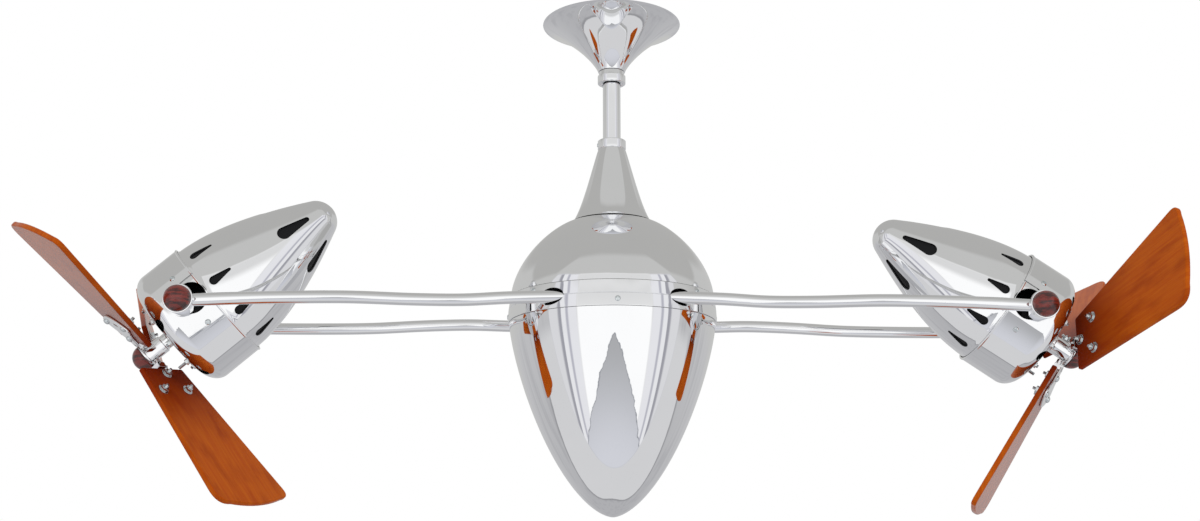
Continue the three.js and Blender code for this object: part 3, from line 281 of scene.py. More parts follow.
def ridged(radius: float, start: float, end: float, pitch: float) -> Outline:
    """Draws the side of a threaded rod as a row of ridges.

    Args:
        radius: Outer radius of the ridges.
        start: Height of the first ridge.
        end: Height of the last ridge.
        pitch: Distance between ridges.

    Returns:
        Points from start to end.
    """
    count = max(int(abs(end - start) / pitch), 1)
    step = (end - start) / count
    points = []
    for i in range(count):
        points += [(radius, start + step * i), (radius * 0.84, start + step * (i + 0.5))]
    return [*points, (radius * 0.84, end)]


# ---------------------------------------------------------------- modelling


class Bench:
    """The modelling bench: the operators that every piece is shaped with."""

    def clear(self) -> None:
        """Leaves edit mode and deselects everything."""
        if bpy.context.mode != "OBJECT":
            bpy.ops.object.mode_set(mode="OBJECT")
        bpy.ops.object.select_all(action="DESELECT")

    def pick(self, *pieces: Piece) -> None:
        """Selects pieces, the first one active.

        Args:
            pieces: The pieces to select.
        """
        self.clear()
        for piece in pieces:
            piece.select_set(True)
        bpy.context.view_layer.objects.active = pieces[0]

    def settle(self, piece: Piece) -> Piece:
        """Applies a piece's place to its mesh.

        Args:
            piece: The piece to settle.

        Returns:
            The piece.
        """
        self.pick(piece)
        bpy.ops.object.transform_apply(location=True, rotation=True, scale=True)
        return piece

    def line(self, name: str, points: Sequence[Vector], closed: bool) -> Piece:
        """Draws a line of edges, corner by corner, and stays in edit mode.

        Args:
            name: Name of the new piece.
            points: Points in millimetres.
            closed: Whether the last point joins the first.

        Returns:
            The new piece, all of it selected.
        """
        self.clear()
        bpy.ops.mesh.primitive_plane_add(size=MM, location=points[0] * MM)
        piece = bpy.context.active_object
        piece.name = piece.data.name = name
        bpy.ops.object.mode_set(mode="EDIT")
        bpy.ops.mesh.select_all(action="SELECT")
        bpy.ops.mesh.merge(type="CENTER")
        corners = [*points, points[0]] if closed else points
        for before, after in zip(corners, corners[1:]):
            bpy.ops.mesh.extrude_region_move(TRANSFORM_OT_translate={"value": (after - before) * MM})
        bpy.ops.mesh.select_all(action="SELECT")
        bpy.ops.mesh.remove_doubles(threshold=1e-7)
        bpy.ops.mesh.select_all(action="SELECT")
        return piece

    def tidy(self) -> None:
        """Merges doubles, turns the faces outwards and leaves edit mode."""
        bpy.ops.mesh.select_all(action="SELECT")
        bpy.ops.mesh.remove_doubles(threshold=1e-6)
        bpy.ops.mesh.normals_make_consistent(inside=False)
        bpy.ops.object.mode_set(mode="OBJECT")

    def turn(self, name: str, outline: Outline, sides: int = 96, closed: bool = True,
             smooth: float = 32) -> Piece:
        """Turns an outline of radius and height about Z, as on a lathe.

        Args:
            name: Name of the new piece.
            outline: Points of radius and height.
            sides: Number of facets round the axis.
            closed: Whether the outline is a loop. An open one starts and ends on the axis.
            smooth: Largest angle between faces that shade as one surface.

        Returns:
            The new piece.
        """
        piece = self.line(name, [Vector((r, 0, z)) for r, z in outline], closed)
        bpy.ops.mesh.spin(steps=sides, angle=math.tau, center=(0, 0, 0), axis=(0, 0, 1))
        self.tidy()
        self.settle(piece)
        return self.smooth(piece, smooth)

    def prism(self, name: str, outline: Outline, low: float, high: float) -> Piece:
        """Gives a flat outline its thickness from a low to a high level.

        Args:
            name: Name of the new piece.
            outline: The closed outline.
            low: Lower level.
            high: Upper level.

        Returns:
            The new piece.
        """
        piece = self.line(name, [Vector((x, y, low)) for x, y in outline], True)
        bpy.ops.mesh.edge_face_add()
        bpy.ops.mesh.extrude_region_move(TRANSFORM_OT_translate={"value": (0, 0, (high - low) * MM)})
        self.tidy()
        return self.settle(piece)

    def tube(self, name: str, route: Sequence[Vector], radius: float, sides: int) -> Piece:
        """Bends a closed rod along a level route that starts along X.

        Args:
            name: Name of the new piece.
            route: Points of the centre line in millimetres.
            radius: Radius of the rod.
            sides: Number of facets round it.

        Returns:
            The new piece.
        """
        def heading(step: Vector) -> float:
            """The level direction of a step."""
            return math.atan2(step.y, step.x)

        self.clear()
        first = heading(route[1] - route[0])
        bpy.ops.mesh.primitive_circle_add(
            vertices=sides, radius=radius * MM, fill_type="NGON", location=route[0] * MM,
            rotation=(0, math.pi / 2, first))
        piece = bpy.context.active_object
        piece.name = piece.data.name = name
        bpy.ops.object.mode_set(mode="EDIT")
        bpy.ops.mesh.select_all(action="SELECT")
        headings = [first]
        for i in range(1, len(route)):
            headings.append(heading(route[min(i + 1, len(route) - 1)] - route[i - 1]))
        for i in range(1, len(route)):
            bpy.ops.mesh.extrude_region_move(
                TRANSFORM_OT_translate={"value": (route[i] - route[i - 1]) * MM})
            bpy.ops.transform.rotate(
                value=-(headings[i] - headings[i - 1]), orient_axis="Z", orient_type="GLOBAL",
                center_override=route[i] * MM)
        self.tidy()
        self.settle(piece)
        return self.smooth(piece, 40)

    def smooth(self, piece: Piece, degrees: float) -> Piece:
        """Shades a piece smooth where its faces meet at less than an angle.

        Args:
            piece: The piece to shade.
            degrees: Largest angle that shades as one surface.

        Returns:
            The piece.
        """
        self.pick(piece)
        bpy.ops.object.shade_smooth_by_angle(angle=math.radians(degrees))
        return piece

    def modify(self, piece: Piece, kind: str, **settings: object) -> None:
        """Adds a modifier with its settings and applies it.

        Args:
            piece: The piece to change.
            kind: Blender's name of the modifier.
            settings: Values of its properties.
        """
        self.pick(piece)
        modifier = piece.modifiers.new(kind.lower(), kind)
        for key, value in settings.items():
            setattr(modifier, key, value)
        bpy.ops.object.modifier_apply(modifier=modifier.name)

    def cut(self, piece: Piece, *tools: Piece) -> Piece:
        """Cuts tools out of a piece and removes the tools.

        Args:
            piece: The piece to cut.
            tools: What is cut out of it.

        Returns:
            The piece.
        """
        tool = self.join("cutter", *tools)
        self.modify(piece, "BOOLEAN", operation="DIFFERENCE", solver="EXACT", object=tool)
        bpy.data.objects.remove(tool)
        return piece

    def even(self, piece: Piece, degrees: float = 30) -> Piece:
        """Shades a piece smooth with its large faces kept flat.

        Args:
            piece: The piece to shade.
            degrees: Largest angle that shades as one surface.

        Returns:
            The piece.
        """
        self.smooth(piece, degrees)
        self.modify(piece, "WEIGHTED_NORMAL", keep_sharp=True, weight=90)
        return piece

    def rim(self, piece: Piece, width: float, segments: int = 3) -> Piece:
        """Rounds the sharp edges of a piece.

        Args:
            piece: The piece to round.
            width: Width of the rounding.
            segments: Steps across it.

        Returns:
            The piece.
        """
        self.modify(
            piece, "BEVEL", width=width * MM, segments=segments, limit_method="ANGLE",
            angle_limit=math.radians(40))
        return self.even(piece, 40)

    def copy(self, piece: Piece, name: str) -> Piece:
        """Copies a piece with a mesh of its own.

        Args:
            piece: The piece to copy.
            name: Name of the copy.

        Returns:
            The copy.
        """
        self.pick(piece)
        bpy.ops.object.duplicate(linked=False)
        copied = bpy.context.active_object
        copied.name = copied.data.name = name
        return copied

    def mark_inner(self, piece: Piece, middle: Vector) -> None:
        """Marks the faces that look towards a point inside a shell, where painted shade goes.

        Args:
            piece: The shell.
            middle: The point inside it.
        """
        # Painted shade mask: 1 on the faces that look into the shell, 0 elsewhere.
        inner = piece.data.attributes.new("inner", "FLOAT", "FACE")
        for face in piece.data.polygons:
            away = (face.center - middle * MM).normalized()
            inner.data[face.index].value = float(face.normal.dot(away) < -0.2)

    def move(self, piece: Piece, matrix: Matrix) -> Piece:
        """Moves a piece, with its place kept in its mesh."""
        piece.matrix_world = matrix
        return self.settle(piece)

    def join(self, name: str, *pieces: Piece) -> Piece:
        """Makes one piece of several.

        Args:
            name: Name of the whole.
            pieces: The pieces, which it takes up.

        Returns:
            The whole.
        """
        self.pick(*pieces)
        if len(pieces) > 1:
            bpy.ops.object.join()
        joined = bpy.context.active_object
        joined.name = joined.data.name = name
        return joined

    def scrap(self, *pieces: Piece) -> None:
        """Removes patterns that were only copied."""
        for piece in pieces:
            bpy.data.objects.remove(piece)

    def spread(self, pattern: Piece, places: Sequence[Matrix]) -> list[Piece]:
        """Copies a pattern to places and removes it.

        Args:
            pattern: The piece to copy.
            places: Where its copies go.

        Returns:
            The copies.
        """
        copies = [self.move(self.copy(pattern, "copy"), place) for place in places]
        self.scrap(pattern)
        return copies

    def dowel(self, name: str, radius: float, ends: Point, roundings: Point, sides: int) -> Piece:
        """Turns a solid rod between two levels.

        Args:
            name: Name of the new piece.
            radius: Radius of the rod.
            ends: Lower and upper level.
            roundings: Rounding of each end's edge.
            sides: Number of facets round it.

        Returns:
            The new piece.
        """
        outline = eased([
            (0, ends[0], 0), (radius, ends[0], roundings[0]),
            (radius, ends[1], roundings[1]), (0, ends[1], 0)], closed=False)
        return self.turn(name, outline, sides, closed=False)


def shift(x: float, y: float, z: float) -> Matrix:
    """A move in millimetres as a matrix."""
    return Matrix.Translation(Vector((x, y, z)) * MM)


def spun(degrees: float, axis: str) -> Matrix:
    """A turn about an axis as a matrix."""
    return Matrix.Rotation(math.radians(degrees), 4, axis)


def radial(degrees: float, height: float) -> Matrix:
    """Lays what stands on Z along the radius at an angle and a height."""
    return shift(0, 0, height) @ spun(degrees, "Z") @ spun(90, "Y")


# ---------------------------------------------------------------- finishes


class Signal:
    """A shader socket that takes part in Python expressions."""

    def __init__(self, board: "Board", socket: bpy.types.NodeSocket) -> None:
        """Wraps a socket of a board."""
        self.board = board
        self.socket = socket

    def __add__(self, other: "Signal | float") -> "Signal":
        """The sum."""
        return self.board.math("ADD", self, other)

    __radd__ = __add__

    def __mul__(self, other: "Signal | float") -> "Signal":
        """The product."""
        return self.board.math("MULTIPLY", self, other)

    __rmul__ = __mul__

    def __sub__(self, other: "Signal | float") -> "Signal":
        """The difference."""
        return self.board.math("SUBTRACT", self, other)

    def __rsub__(self, other: "Signal | float") -> "Signal":
        """The difference from a number."""
        return self.board.math("SUBTRACT", other, self)

    def __truediv__(self, other: "Signal | float") -> "Signal":
        """The quotient."""
        return self.board.math("DIVIDE", self, other)


class Board:
    """The node board of a material or of the world."""

    def __init__(self, tree: bpy.types.NodeTree) -> None:
        """Starts on an empty tree."""
        self.tree = tree
        tree.nodes.clear()

    def node(self, kind: str, settings: dict[str, object] | None = None,
             sockets: dict[str | int, object] | None = None, output: int | str = 0) -> Signal:
        """Adds a node.

        Args:
            kind: Node type without its ShaderNode prefix.
            settings: Properties that are set first.
            sockets: Values or signals of its inputs.
            output: Which output to return.

        Returns:
            The output as a signal.
        """
        node = self.tree.nodes.new("ShaderNode" + kind)
        for key, value in (settings or {}).items():
            setattr(node, key, value)
        for key, value in (sockets or {}).items():
            if isinstance(value, Signal):
                self.tree.links.new(value.socket, node.inputs[key])
            else:
                node.inputs[key].default_value = value
        return Signal(self, node.outputs[output])

    def math(self, operation: str, left: Signal | float, right: Signal | float) -> Signal:
        """Adds a Math node."""
        return self.node("Math", {"operation": operation}, {0: left, 1: right})

    def blend(self, share: Signal | float, first: Signal | tuple, second: Signal | tuple) -> Signal:
        """Mixes two colours by a share of the second."""
        values = [value if isinstance(value, Signal) else (*value, 1) for value in (first, second)]
        return self.node("Mix", {"data_type": "RGBA"}, {0: share, 6: values[0], 7: values[1]}, 2)

    def ease(self, value: Signal, low: float, high: float) -> Signal:
        """A smooth step from 0 at low to 1 at high."""
        return self.node("MapRange", {"interpolation_type": "SMOOTHSTEP"}, {0: value, 1: low, 2: high})

    def noise(self, place: Signal, scale: float, detail: float = 3, rough: float = 0.5,
              stretch: Triple | None = None) -> Signal:
        """Adds a noise pattern.

        Args:
            place: Where the pattern is read.
            scale: Size of the pattern, larger for finer.
            detail: Number of finer layers.
            rough: Strength of the finer layers.
            stretch: Factors on the place along its axes.

        Returns:
            The pattern, about 0.5 on average.
        """
        if stretch:
            place = self.node("Mapping", None, {"Vector": place, "Scale": stretch})
        return self.node("TexNoise", None, {
            "Vector": place, "Scale": scale, "Detail": detail, "Roughness": rough})

    def bump(self, height: Signal, strength: float, distance: float) -> Signal:
        """Adds a Bump node, its distance in millimetres."""
        return self.node("Bump", None, {
            "Strength": strength, "Distance": distance * MM, "Height": height})

    def show(self, surface: Signal, output: str = "OutputMaterial") -> None:
        """Links a finished surface to the board's output."""
        end = self.tree.nodes.new("ShaderNode" + output)
        self.tree.links.new(surface.socket, end.inputs["Surface"])


@dataclass(frozen=True)
class Finish:
    """A finish of the record's slot, painted with nodes on one surface shader."""

    slot: Slot
    colour: Triple
    roughness: float
    metallic: float = 0.0
    coat: float = 0.0
    coat_roughness: float = 0.05
    specular: float = 0.5
    bump: float = 0.0

    def paint(self, board: Board) -> dict[str, object]:
        """Paints the surface.

        Args:
            board: The material's board.

        Returns:
            What the surface's sockets take, constants and signals.
        """
        place = board.node("TexCoord", output="Object")
        worn = board.noise(place, 60, 4)
        fine = board.noise(place, 900, 2)
        return {
            "Base Color": board.blend(worn * 0.25, self.colour, tuple(c * 0.8 for c in self.colour)),
            "Roughness": self.roughness + (worn - 0.5) * self.roughness * 0.6,
            "Normal": board.bump(fine, 0.3, self.bump),
        }

    def material(self) -> bpy.types.Material:
        """Builds the material of this finish.

        Returns:
            The material.
        """
        material = bpy.data.materials.new(self.slot.value + "_finish")
        material.use_nodes = True
        board = Board(material.node_tree)
        constants = {
            "Metallic": self.metallic, "Coat Weight": self.coat, "Coat Roughness": self.coat_roughness,
            "Specular IOR Level": self.specular}
        surface = board.node("BsdfPrincipled", None, {**constants, **self.paint(board)})
        board.show(surface)
        return material


@dataclass(frozen=True)
class Chrome(Finish):
    """Polished plating with a faint haze, and painted shade, a dull black, on the faces that look into
    a shell.
    """

    haze: float = 0.035
    ripple: float = 0.02
    # Colour of the painted shade on the faces inside a shell.
    inside: Triple = (0.010, 0.010, 0.011)

    def paint(self, board: Board) -> dict[str, object]:
        """Paints the surface.

        Args:
            board: The material's board.

        Returns:
            What its sockets take.
        """
        place = board.node("TexCoord", output="Object")
        cloud = board.noise(place, 22, 5)
        wipe = board.noise(place, 160, 3, stretch=(1, 1, 0.2))
        swirl = board.noise(place, 9, 1)
        # Painted shade: faces marked inner get a dull black, non-metal and rough, in place of the
        # plating.
        inner = board.node("Attribute", {"attribute_name": "inner"}, output="Fac")
        plated = board.blend(cloud, self.colour, tuple(c * 0.96 for c in self.colour))
        return {
            "Base Color": board.blend(inner, plated, self.inside),
            "Metallic": 1 - inner,
            "Roughness": self.roughness + board.ease(cloud * wipe, 0.2, 0.4) * self.haze + inner * 0.5,
            "Normal": board.bump(swirl, 1.0, self.ripple),
        }


@dataclass(frozen=True)
class BladeWood(Finish):
    """Stained wood under lacquer, with its grain along the blade, and painted shade darkening it
    towards the root.
    """

    # Darkest tone: for the grain's dark patches and pores, and for the painted shade at the root.
    dark: Triple = (0.17, 0.009, 0.0005)
    light: Triple = (0.45, 0.095, 0.004)
    stretch: float = 10.0

    def paint(self, board: Board) -> dict[str, object]:
        """Paints the surface by a UV map in decimetres along and across the grain.

        Args:
            board: The material's board.

        Returns:
            What its sockets take.
        """
        place = board.node("UVMap", {"uv_map": "grain"})
        along = board.node("SeparateXYZ", None, {0: place}, 0)
        drift = board.noise(place, 1.6, 3, stretch=(1.2, 3, 1))
        band = board.noise(place, 2.2, 4, 0.6, stretch=(0.5, 9, 1))
        streak = board.noise(place, 3.0, 4, 0.65, stretch=(1.0, 34, 1))
        pore = board.noise(place, 6.0, 2, 0.6, stretch=(3.5, 110, 1))
        grain = board.ease(streak * 0.45 + band * 0.55, 0.36, 0.66)
        tone = board.blend(grain, self.colour, self.light)
        tone = board.blend(board.ease(drift, 0.45, 0.75) * 0.4, tone, self.dark)
        tone = board.blend(board.ease(pore, 0.60, 0.72) * 0.2, tone, self.dark)
        # Painted shade: each blade darkens towards its root, by the iron and hub, within its own
        # stretch of grain.
        whole = board.node("Math", {"operation": "FLOOR"}, {0: along / self.stretch})
        root = 1 - board.ease(along - self.stretch * whole, 0.1, 1.5)
        tone = board.blend(root * 0.92, tone, self.dark)
        facing = board.node("LayerWeight", None, {"Blend": 0.5}, "Facing")
        return {
            "Base Color": tone,
            "Coat Weight": board.ease(facing, 0.62, 0.9) * self.coat,
            "Roughness": self.roughness + pore * 0.12,
            "Normal": board.bump(streak * 0.5 - pore * 0.5, 0.35, self.bump),
        }


@dataclass(frozen=True)
class DarkWood(Finish):
    """Dark turned wood with fine streaks under a clear gloss."""

    dark: Triple = (0.035, 0.006, 0.005)

    def paint(self, board: Board) -> dict[str, object]:
        """Paints the surface.

        Args:
            board: The material's board.

        Returns:
            What its sockets take.
        """
        place = board.node("TexCoord", output="Object")
        figure = board.noise(place, 70, 5, 0.6, stretch=(1, 1, 4))
        fleck = board.noise(place, 300, 3, 0.6, stretch=(1, 1, 8))
        tone = board.blend(board.ease(figure, 0.42, 0.62), self.colour, self.dark)
        tone = board.blend(board.ease(fleck, 0.55, 0.75) * 0.5, tone, self.dark)
        return {
            "Base Color": tone,
            "Roughness": self.roughness + fleck * 0.1,
            "Normal": board.bump(fleck, 0.25, self.bump),
        }


class Paintbox:
    """The materials of the fan, one for each slot."""

    FINISHES = (
        Chrome(Slot.CHROME, (0.92, 0.925, 0.935), 0.02, metallic=1.0),
        Finish(Slot.STEEL, (0.70, 0.74, 0.75), 0.2, metallic=1.0, bump=0.04),
        Finish(Slot.BRASS, (0.69, 0.50, 0.22), 0.28, metallic=1.0, bump=0.05),
        Finish(Slot.BLACK_STEEL, (0.007, 0.007, 0.008), 0.5, specular=0.15, bump=0.08),
        Finish(Slot.PHENOLIC, (0.09, 0.045, 0.022), 0.5, bump=0.1),
        BladeWood(
            Slot.BLADE_WOOD, (0.38, 0.062, 0.003), 0.36, coat=1.0, coat_roughness=0.25, specular=0.05,
            bump=0.03),
        DarkWood(Slot.DARK_WOOD, (0.17, 0.016, 0.010), 0.3, coat=0.45, coat_roughness=0.05, bump=0.08),
    )

    def __init__(self) -> None:
        """Builds each finish once."""
        self.materials = {finish.slot: finish.material() for finish in self.FINISHES}

    def coat(self, piece: Piece, slot: Slot) -> None:
        """Paints all of a piece."""
        piece.data.materials.clear()
        piece.data.materials.append(self.materials[slot])

    def recoat(self, node: Piece, slot: Slot) -> None:
        """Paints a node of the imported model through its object's slots."""
        for place in node.material_slots:
            place.material = self.materials[slot]


class Workshop:
    """The bench, the paintbox and the frame that pieces are fitted to."""

    def __init__(self, frame: dict) -> None:
        """Starts from a frame.
        """
        self.frame = frame
        self.bench = Bench()
        self.paints = Paintbox()
        self.count = 0

    def fit(self, piece: Piece, body: str, slot: Slot, *nodes: str) -> Piece:
        """Paints a piece, sets it on its body and lets it stand for nodes.

        Args:
            piece: The finished piece.
            body: Body that it rides on.
            slot: Material slot that it takes its finish from.
            nodes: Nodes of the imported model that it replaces.

        Returns:
            The piece.
        """
        self.paints.coat(piece, slot)
        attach(piece, body)
        if nodes:
            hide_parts(*nodes)
        self.count += 1
        faces = len(piece.data.polygons)
        LOG.info("%s rides on %s in %s, %d faces", piece.name, body, slot.value, faces)
        return piece

    def keep(self) -> None:
        """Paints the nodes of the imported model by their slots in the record."""
        for entry in self.frame["record"]["subparts"]:
            self.paints.recoat(self.frame["nodes"][entry["node"]], Slot(entry["material_slot"]))


# ---------------------------------------------------------------- fasteners


@dataclass
class Fasteners:
    """Patterns of the fan's screws, bolts, studs and nuts, each standing on Z."""

    bench: Bench
    thread_pitch: float = 0.9
    stud_seat: float = -40.3
    bolt_head: float = -5.9

    def pan_screw(self, name: str, radius: float, height: float, sink: float) -> Piece:
        """Turns a domed screw head with a cross recess, its seat at level 0.

        Args:
            name: Name of the new piece.
            radius: Radius of the head.
            height: Height of the head.
            sink: Depth of its foot under the seat.

        Returns:
            The new piece.
        """
        dome = swing((0, 0), (radius, height), 90, 0, 7)[1:]
        head = self.bench.turn(
            name, [(0, height), *dome, (radius, -sink), (0, -sink)], 24, closed=False)
        arm, width = radius * 0.62, radius * 0.2
        quarter = [(arm, -width), (arm, width), (width, width)]
        cross = [*quarter, *((-y, x) for x, y in quarter), *((-x, -y) for x, y in quarter),
                 *((y, -x) for x, y in quarter)]
        recess = self.bench.prism("recess", cross, height * 0.35, height + 1)
        return self.bench.even(self.bench.cut(head, recess))

    def grub_screw(self, name: str, radius: float, start: float, end: float) -> Piece:
        """Turns a headless screw with a hexagon socket in its end.

        Args:
            name: Name of the new piece.
            radius: Radius of the screw.
            start: Level of its foot.
            end: Level of its socket's mouth.

        Returns:
            The new piece.
        """
        body = self.bench.dowel(name, radius, (start, end), (0.3, 0.4), 24)
        socket = self.bench.prism("socket", hexagon(radius * 1.05), end - 1.6, end + 1)
        return self.bench.even(self.bench.cut(body, socket))

    def nut(self, name: str, width: float, low: float, high: float) -> Piece:
        """Makes a hexagon nut between two levels."""
        return self.bench.rim(self.bench.prism(name, hexagon(width), low, high), 0.35, 2)

    def washer(self, name: str, radius: float, low: float, high: float) -> Piece:
        """Turns a flat washer between two levels."""
        return self.bench.dowel(name, radius, (low, high), (0.2, 0.2), 28)

    def rod(self, name: str, radius: float, start: float, end: float) -> Piece:
        """Turns a threaded rod between two levels."""
        outline = [(0, start), *ridged(radius, start, end, self.thread_pitch), (0, end)]
        return self.bench.turn(name, outline, 14, closed=False, smooth=20)

    def stud(self, name: str, end: float) -> Piece:
        """Joins a stud to its washer and nut under the cup's face.

        Args:
            name: Name of the new piece.
            end: Level of the stud's end.

        Returns:
            The new piece.
        """
        seat, nut_top = self.stud_seat, self.stud_seat - 0.8
        return self.bench.join(
            name,
            self.rod("rod", 2.0, end, -22),
            self.washer("washer", 4.6, nut_top, seat),
            self.nut("nut", 6.8, seat - 4.0, nut_top))

    def blade_bolt(self, name: str) -> Piece:
        """Joins a bolt to its domed head, washer and nut, the blade's middle at level 0.

        Args:
            name: Name of the new piece.

        Returns:
            The new piece.
        """
        seat, height = self.bolt_head, 2.5
        dome = swing((0, seat), (4.0, height), -90, 0, 7)[1:]
        head = self.bench.turn("head", [(0, seat - height), *dome, (0, seat)], 24, closed=False)
        return self.bench.join(
            name,
            self.rod("rod", 1.9, seat, 11.6),
            head,
            self.washer("washer", 6.4, 3.05, 4.0),
            self.nut("nut", 8.0, 4.0, 7.8))


# ---------------------------------------------------------------- mount


@dataclass
class Assembly:
    """A sub-assembly that is built in a workshop with its fasteners."""

    shop: Workshop
    screws: Fasteners

    @property
    def bench(self) -> Bench:
        """The workshop's bench."""
        return self.shop.bench


@dataclass
class CeilingMount(Assembly):
    """The fixed pieces: canopy, collars, downrod and neck bell, with the hanger inside."""

    rod_radius: float = 10.65
    rod_wall: float = 2.65
    rod_top: float = -14.0
    rod_foot: float = -395.0
    canopy_rim: Point = (83.5, -0.5)
    canopy_foot: Point = (16.3, -60.0)
    canopy_flare: Point = (1.274, 1.275)
    canopy_hole: float = 13.0
    canopy_wall: float = 1.6
    collar_radius: float = 16.8
    neck_top: float = -147.5
    neck_collar_foot: float = -158.0
    bell_foot: Point = (48.0, -248.9)
    bell_flare: Point = (1.122, 0.667)
    bell_wall: float = 1.8
    plate: Triple = (90.0, 38.0, 3.0)
    plate_slot: Point = (14.0, 5.0)
    slot_place: float = 35.0
    wire_hole: Point = (13.0, 5.0)
    strap: Triple = (51.0, 30.0, 34.0)
    strap_wall: float = 3.0
    ball_radius: float = 17.5
    ball_height: float = -22.0
    seat_radius: float = 15.4
    pin: Point = (2.5, 16.6)
    pin_height: float = -24.0
    rod_bore: float = 10.95

    def build(self) -> None:
        """Builds every piece of the mount."""
        self.bracket()
        self.hanger()
        self.canopy()
        self.canopy_collar()
        self.downrod()
        self.neck_bell()
        self.set_screws()

    def bracket(self) -> None:
        """The plate against the ceiling with the strap that holds the ball."""
        bench = self.bench
        length, width, thickness = self.plate
        x, y = length / 2, width / 2
        plate = bench.prism("plate", eased([
            (-x, -y, 5), (x, -y, 5), (x, y, 5), (-x, y, 5)], steps=6), -thickness, 0)
        place, radius = self.wire_hole
        wire_hole = bench.move(bench.prism("hole", ring(radius, 24), -9, 6), shift(place, 0, 0))
        slots = [
            bench.prism("slot", stadium(side * self.slot_place, 0, *self.plate_slot), -9, 6)
            for side in (-1, 1)]
        bench.cut(plate, wire_hole, *slots)
        outer, top, foot = self.strap[0] / 2, -thickness - 0.1, -self.strap[2]
        inner, floor = outer - self.strap_wall, foot + self.strap_wall
        section = eased([
            (-outer, top, 0), (-outer, foot, 3), (outer, foot, 3), (outer, top, 0),
            (inner, top, 0), (inner, floor, 1), (-inner, floor, 1), (-inner, top, 0)], steps=5)
        half = self.strap[1] / 2
        strap = bench.move(bench.prism("strap", section, -half, half), spun(90, "X"))
        bench.cut(strap, bench.prism("seat", ring(self.seat_radius, 60), -40, -25))
        bracket = bench.join("hanger_bracket", bench.rim(plate, 0.5, 2), bench.rim(strap, 0.4, 2))
        self.shop.fit(bracket, "mount", Slot.STEEL, "ceiling_bracket")

    def hanger(self) -> None:
        """The ball that hangs in the bracket, and the pin through it."""
        bench, radius = self.bench, self.ball_radius
        foot = math.degrees(-math.acos(self.rod_bore / radius))
        top = math.degrees(math.asin((self.rod_top - self.ball_height) / radius))
        side = swing((0, self.ball_height), (radius, radius), foot, top, 24)
        ball = bench.turn("hanging_ball", [(self.rod_bore, self.rod_top), *reversed(side)], 64)
        self.shop.fit(ball, "mount", Slot.BLACK_STEEL, "hanger_ball")
        pin = bench.dowel("hanging_pin", self.pin[0], (-self.pin[1], self.pin[1]), (0.6, 0.6), 24)
        bench.move(pin, radial(0, self.pin_height))
        self.shop.fit(pin, "mount", Slot.STEEL, "hanger_pin")

    def canopy(self) -> None:
        """The flared cover under the ceiling."""
        outside = [(self.canopy_hole, self.canopy_foot[1]), *swell(
            self.canopy_foot, self.canopy_rim, self.canopy_flare, 40)]
        inside = [(r, min(z, self.canopy_rim[1])) for r, z in beside(outside, -self.canopy_wall)[:-1]]
        piece = self.bench.turn("canopy_cover", [*outside, *reversed(inside)], 144)
        self.shop.fit(piece, "mount", Slot.CHROME, "canopy")

    def canopy_collar(self) -> None:
        """The stepped collar that clamps the canopy on the rod."""
        top, step, foot = self.canopy_foot[1] - GAP, -65.5, -75.3
        radius, recess, bore = self.collar_radius, 13.4, self.rod_bore
        outline = eased([
            (bore, top, 0.2), (15.3, top, 0.5), (15.3, step, 0.3), (radius, step, 0.7),
            (radius, foot, 0.9), (recess, foot, 0.6), (recess, foot + 3, 0.2), (bore, foot + 3, 0.2)])
        piece = self.bench.turn("canopy_clamp_collar", outline, 96)
        self.shop.fit(piece, "mount", Slot.CHROME, "canopy_collar")

    def downrod(self) -> None:
        """The pipe that carries everything under the ceiling."""
        bore = self.rod_radius - self.rod_wall
        outline = eased([
            (bore, self.rod_foot, 0.5), (self.rod_radius, self.rod_foot, 0.5),
            (self.rod_radius, self.rod_top, 0.5), (bore, self.rod_top, 0.5)])
        piece = self.bench.turn("hanging_rod", outline, 64)
        self.shop.fit(piece, "mount", Slot.CHROME, "downrod")

    def neck_bell(self) -> None:
        """The collar and bell over the turning dome, spun in one."""
        flare = swell(self.bell_foot, (16.0, self.neck_collar_foot), self.bell_flare, 40)[::-1]
        bore_foot = self.neck_top - 17.5
        inside = [
            (r, max(z, self.bell_foot[1])) for r, z in beside(flare, self.bell_wall)
            if z < bore_foot - self.bell_wall]
        outline = eased([
            (self.rod_bore, self.neck_top, 0.3), (self.collar_radius, self.neck_top, 1.0),
            (self.collar_radius, self.neck_collar_foot, 0.6), *plain(flare),
            *plain(inside[-2::-1]), (self.rod_bore, bore_foot, 0)])
        piece = self.bench.turn("neck_cover", outline, 128)
        self.shop.fit(piece, "mount", Slot.CHROME, "neck_bell")

    def set_screws(self) -> None:
        """The grub screws of the two collars."""
        places = {"canopy_set_screw": (90, -68.9), "neck_set_screw": (180, -152.75)}
        for node, (angle, height) in places.items():
            screw = self.screws.grub_screw(node + "_socket", 2.2, 11.1, 17.6)
            self.bench.move(screw, radial(angle, height))
            self.shop.fit(screw, "mount", Slot.STEEL, node)


# ---------------------------------------------------------------- turning body


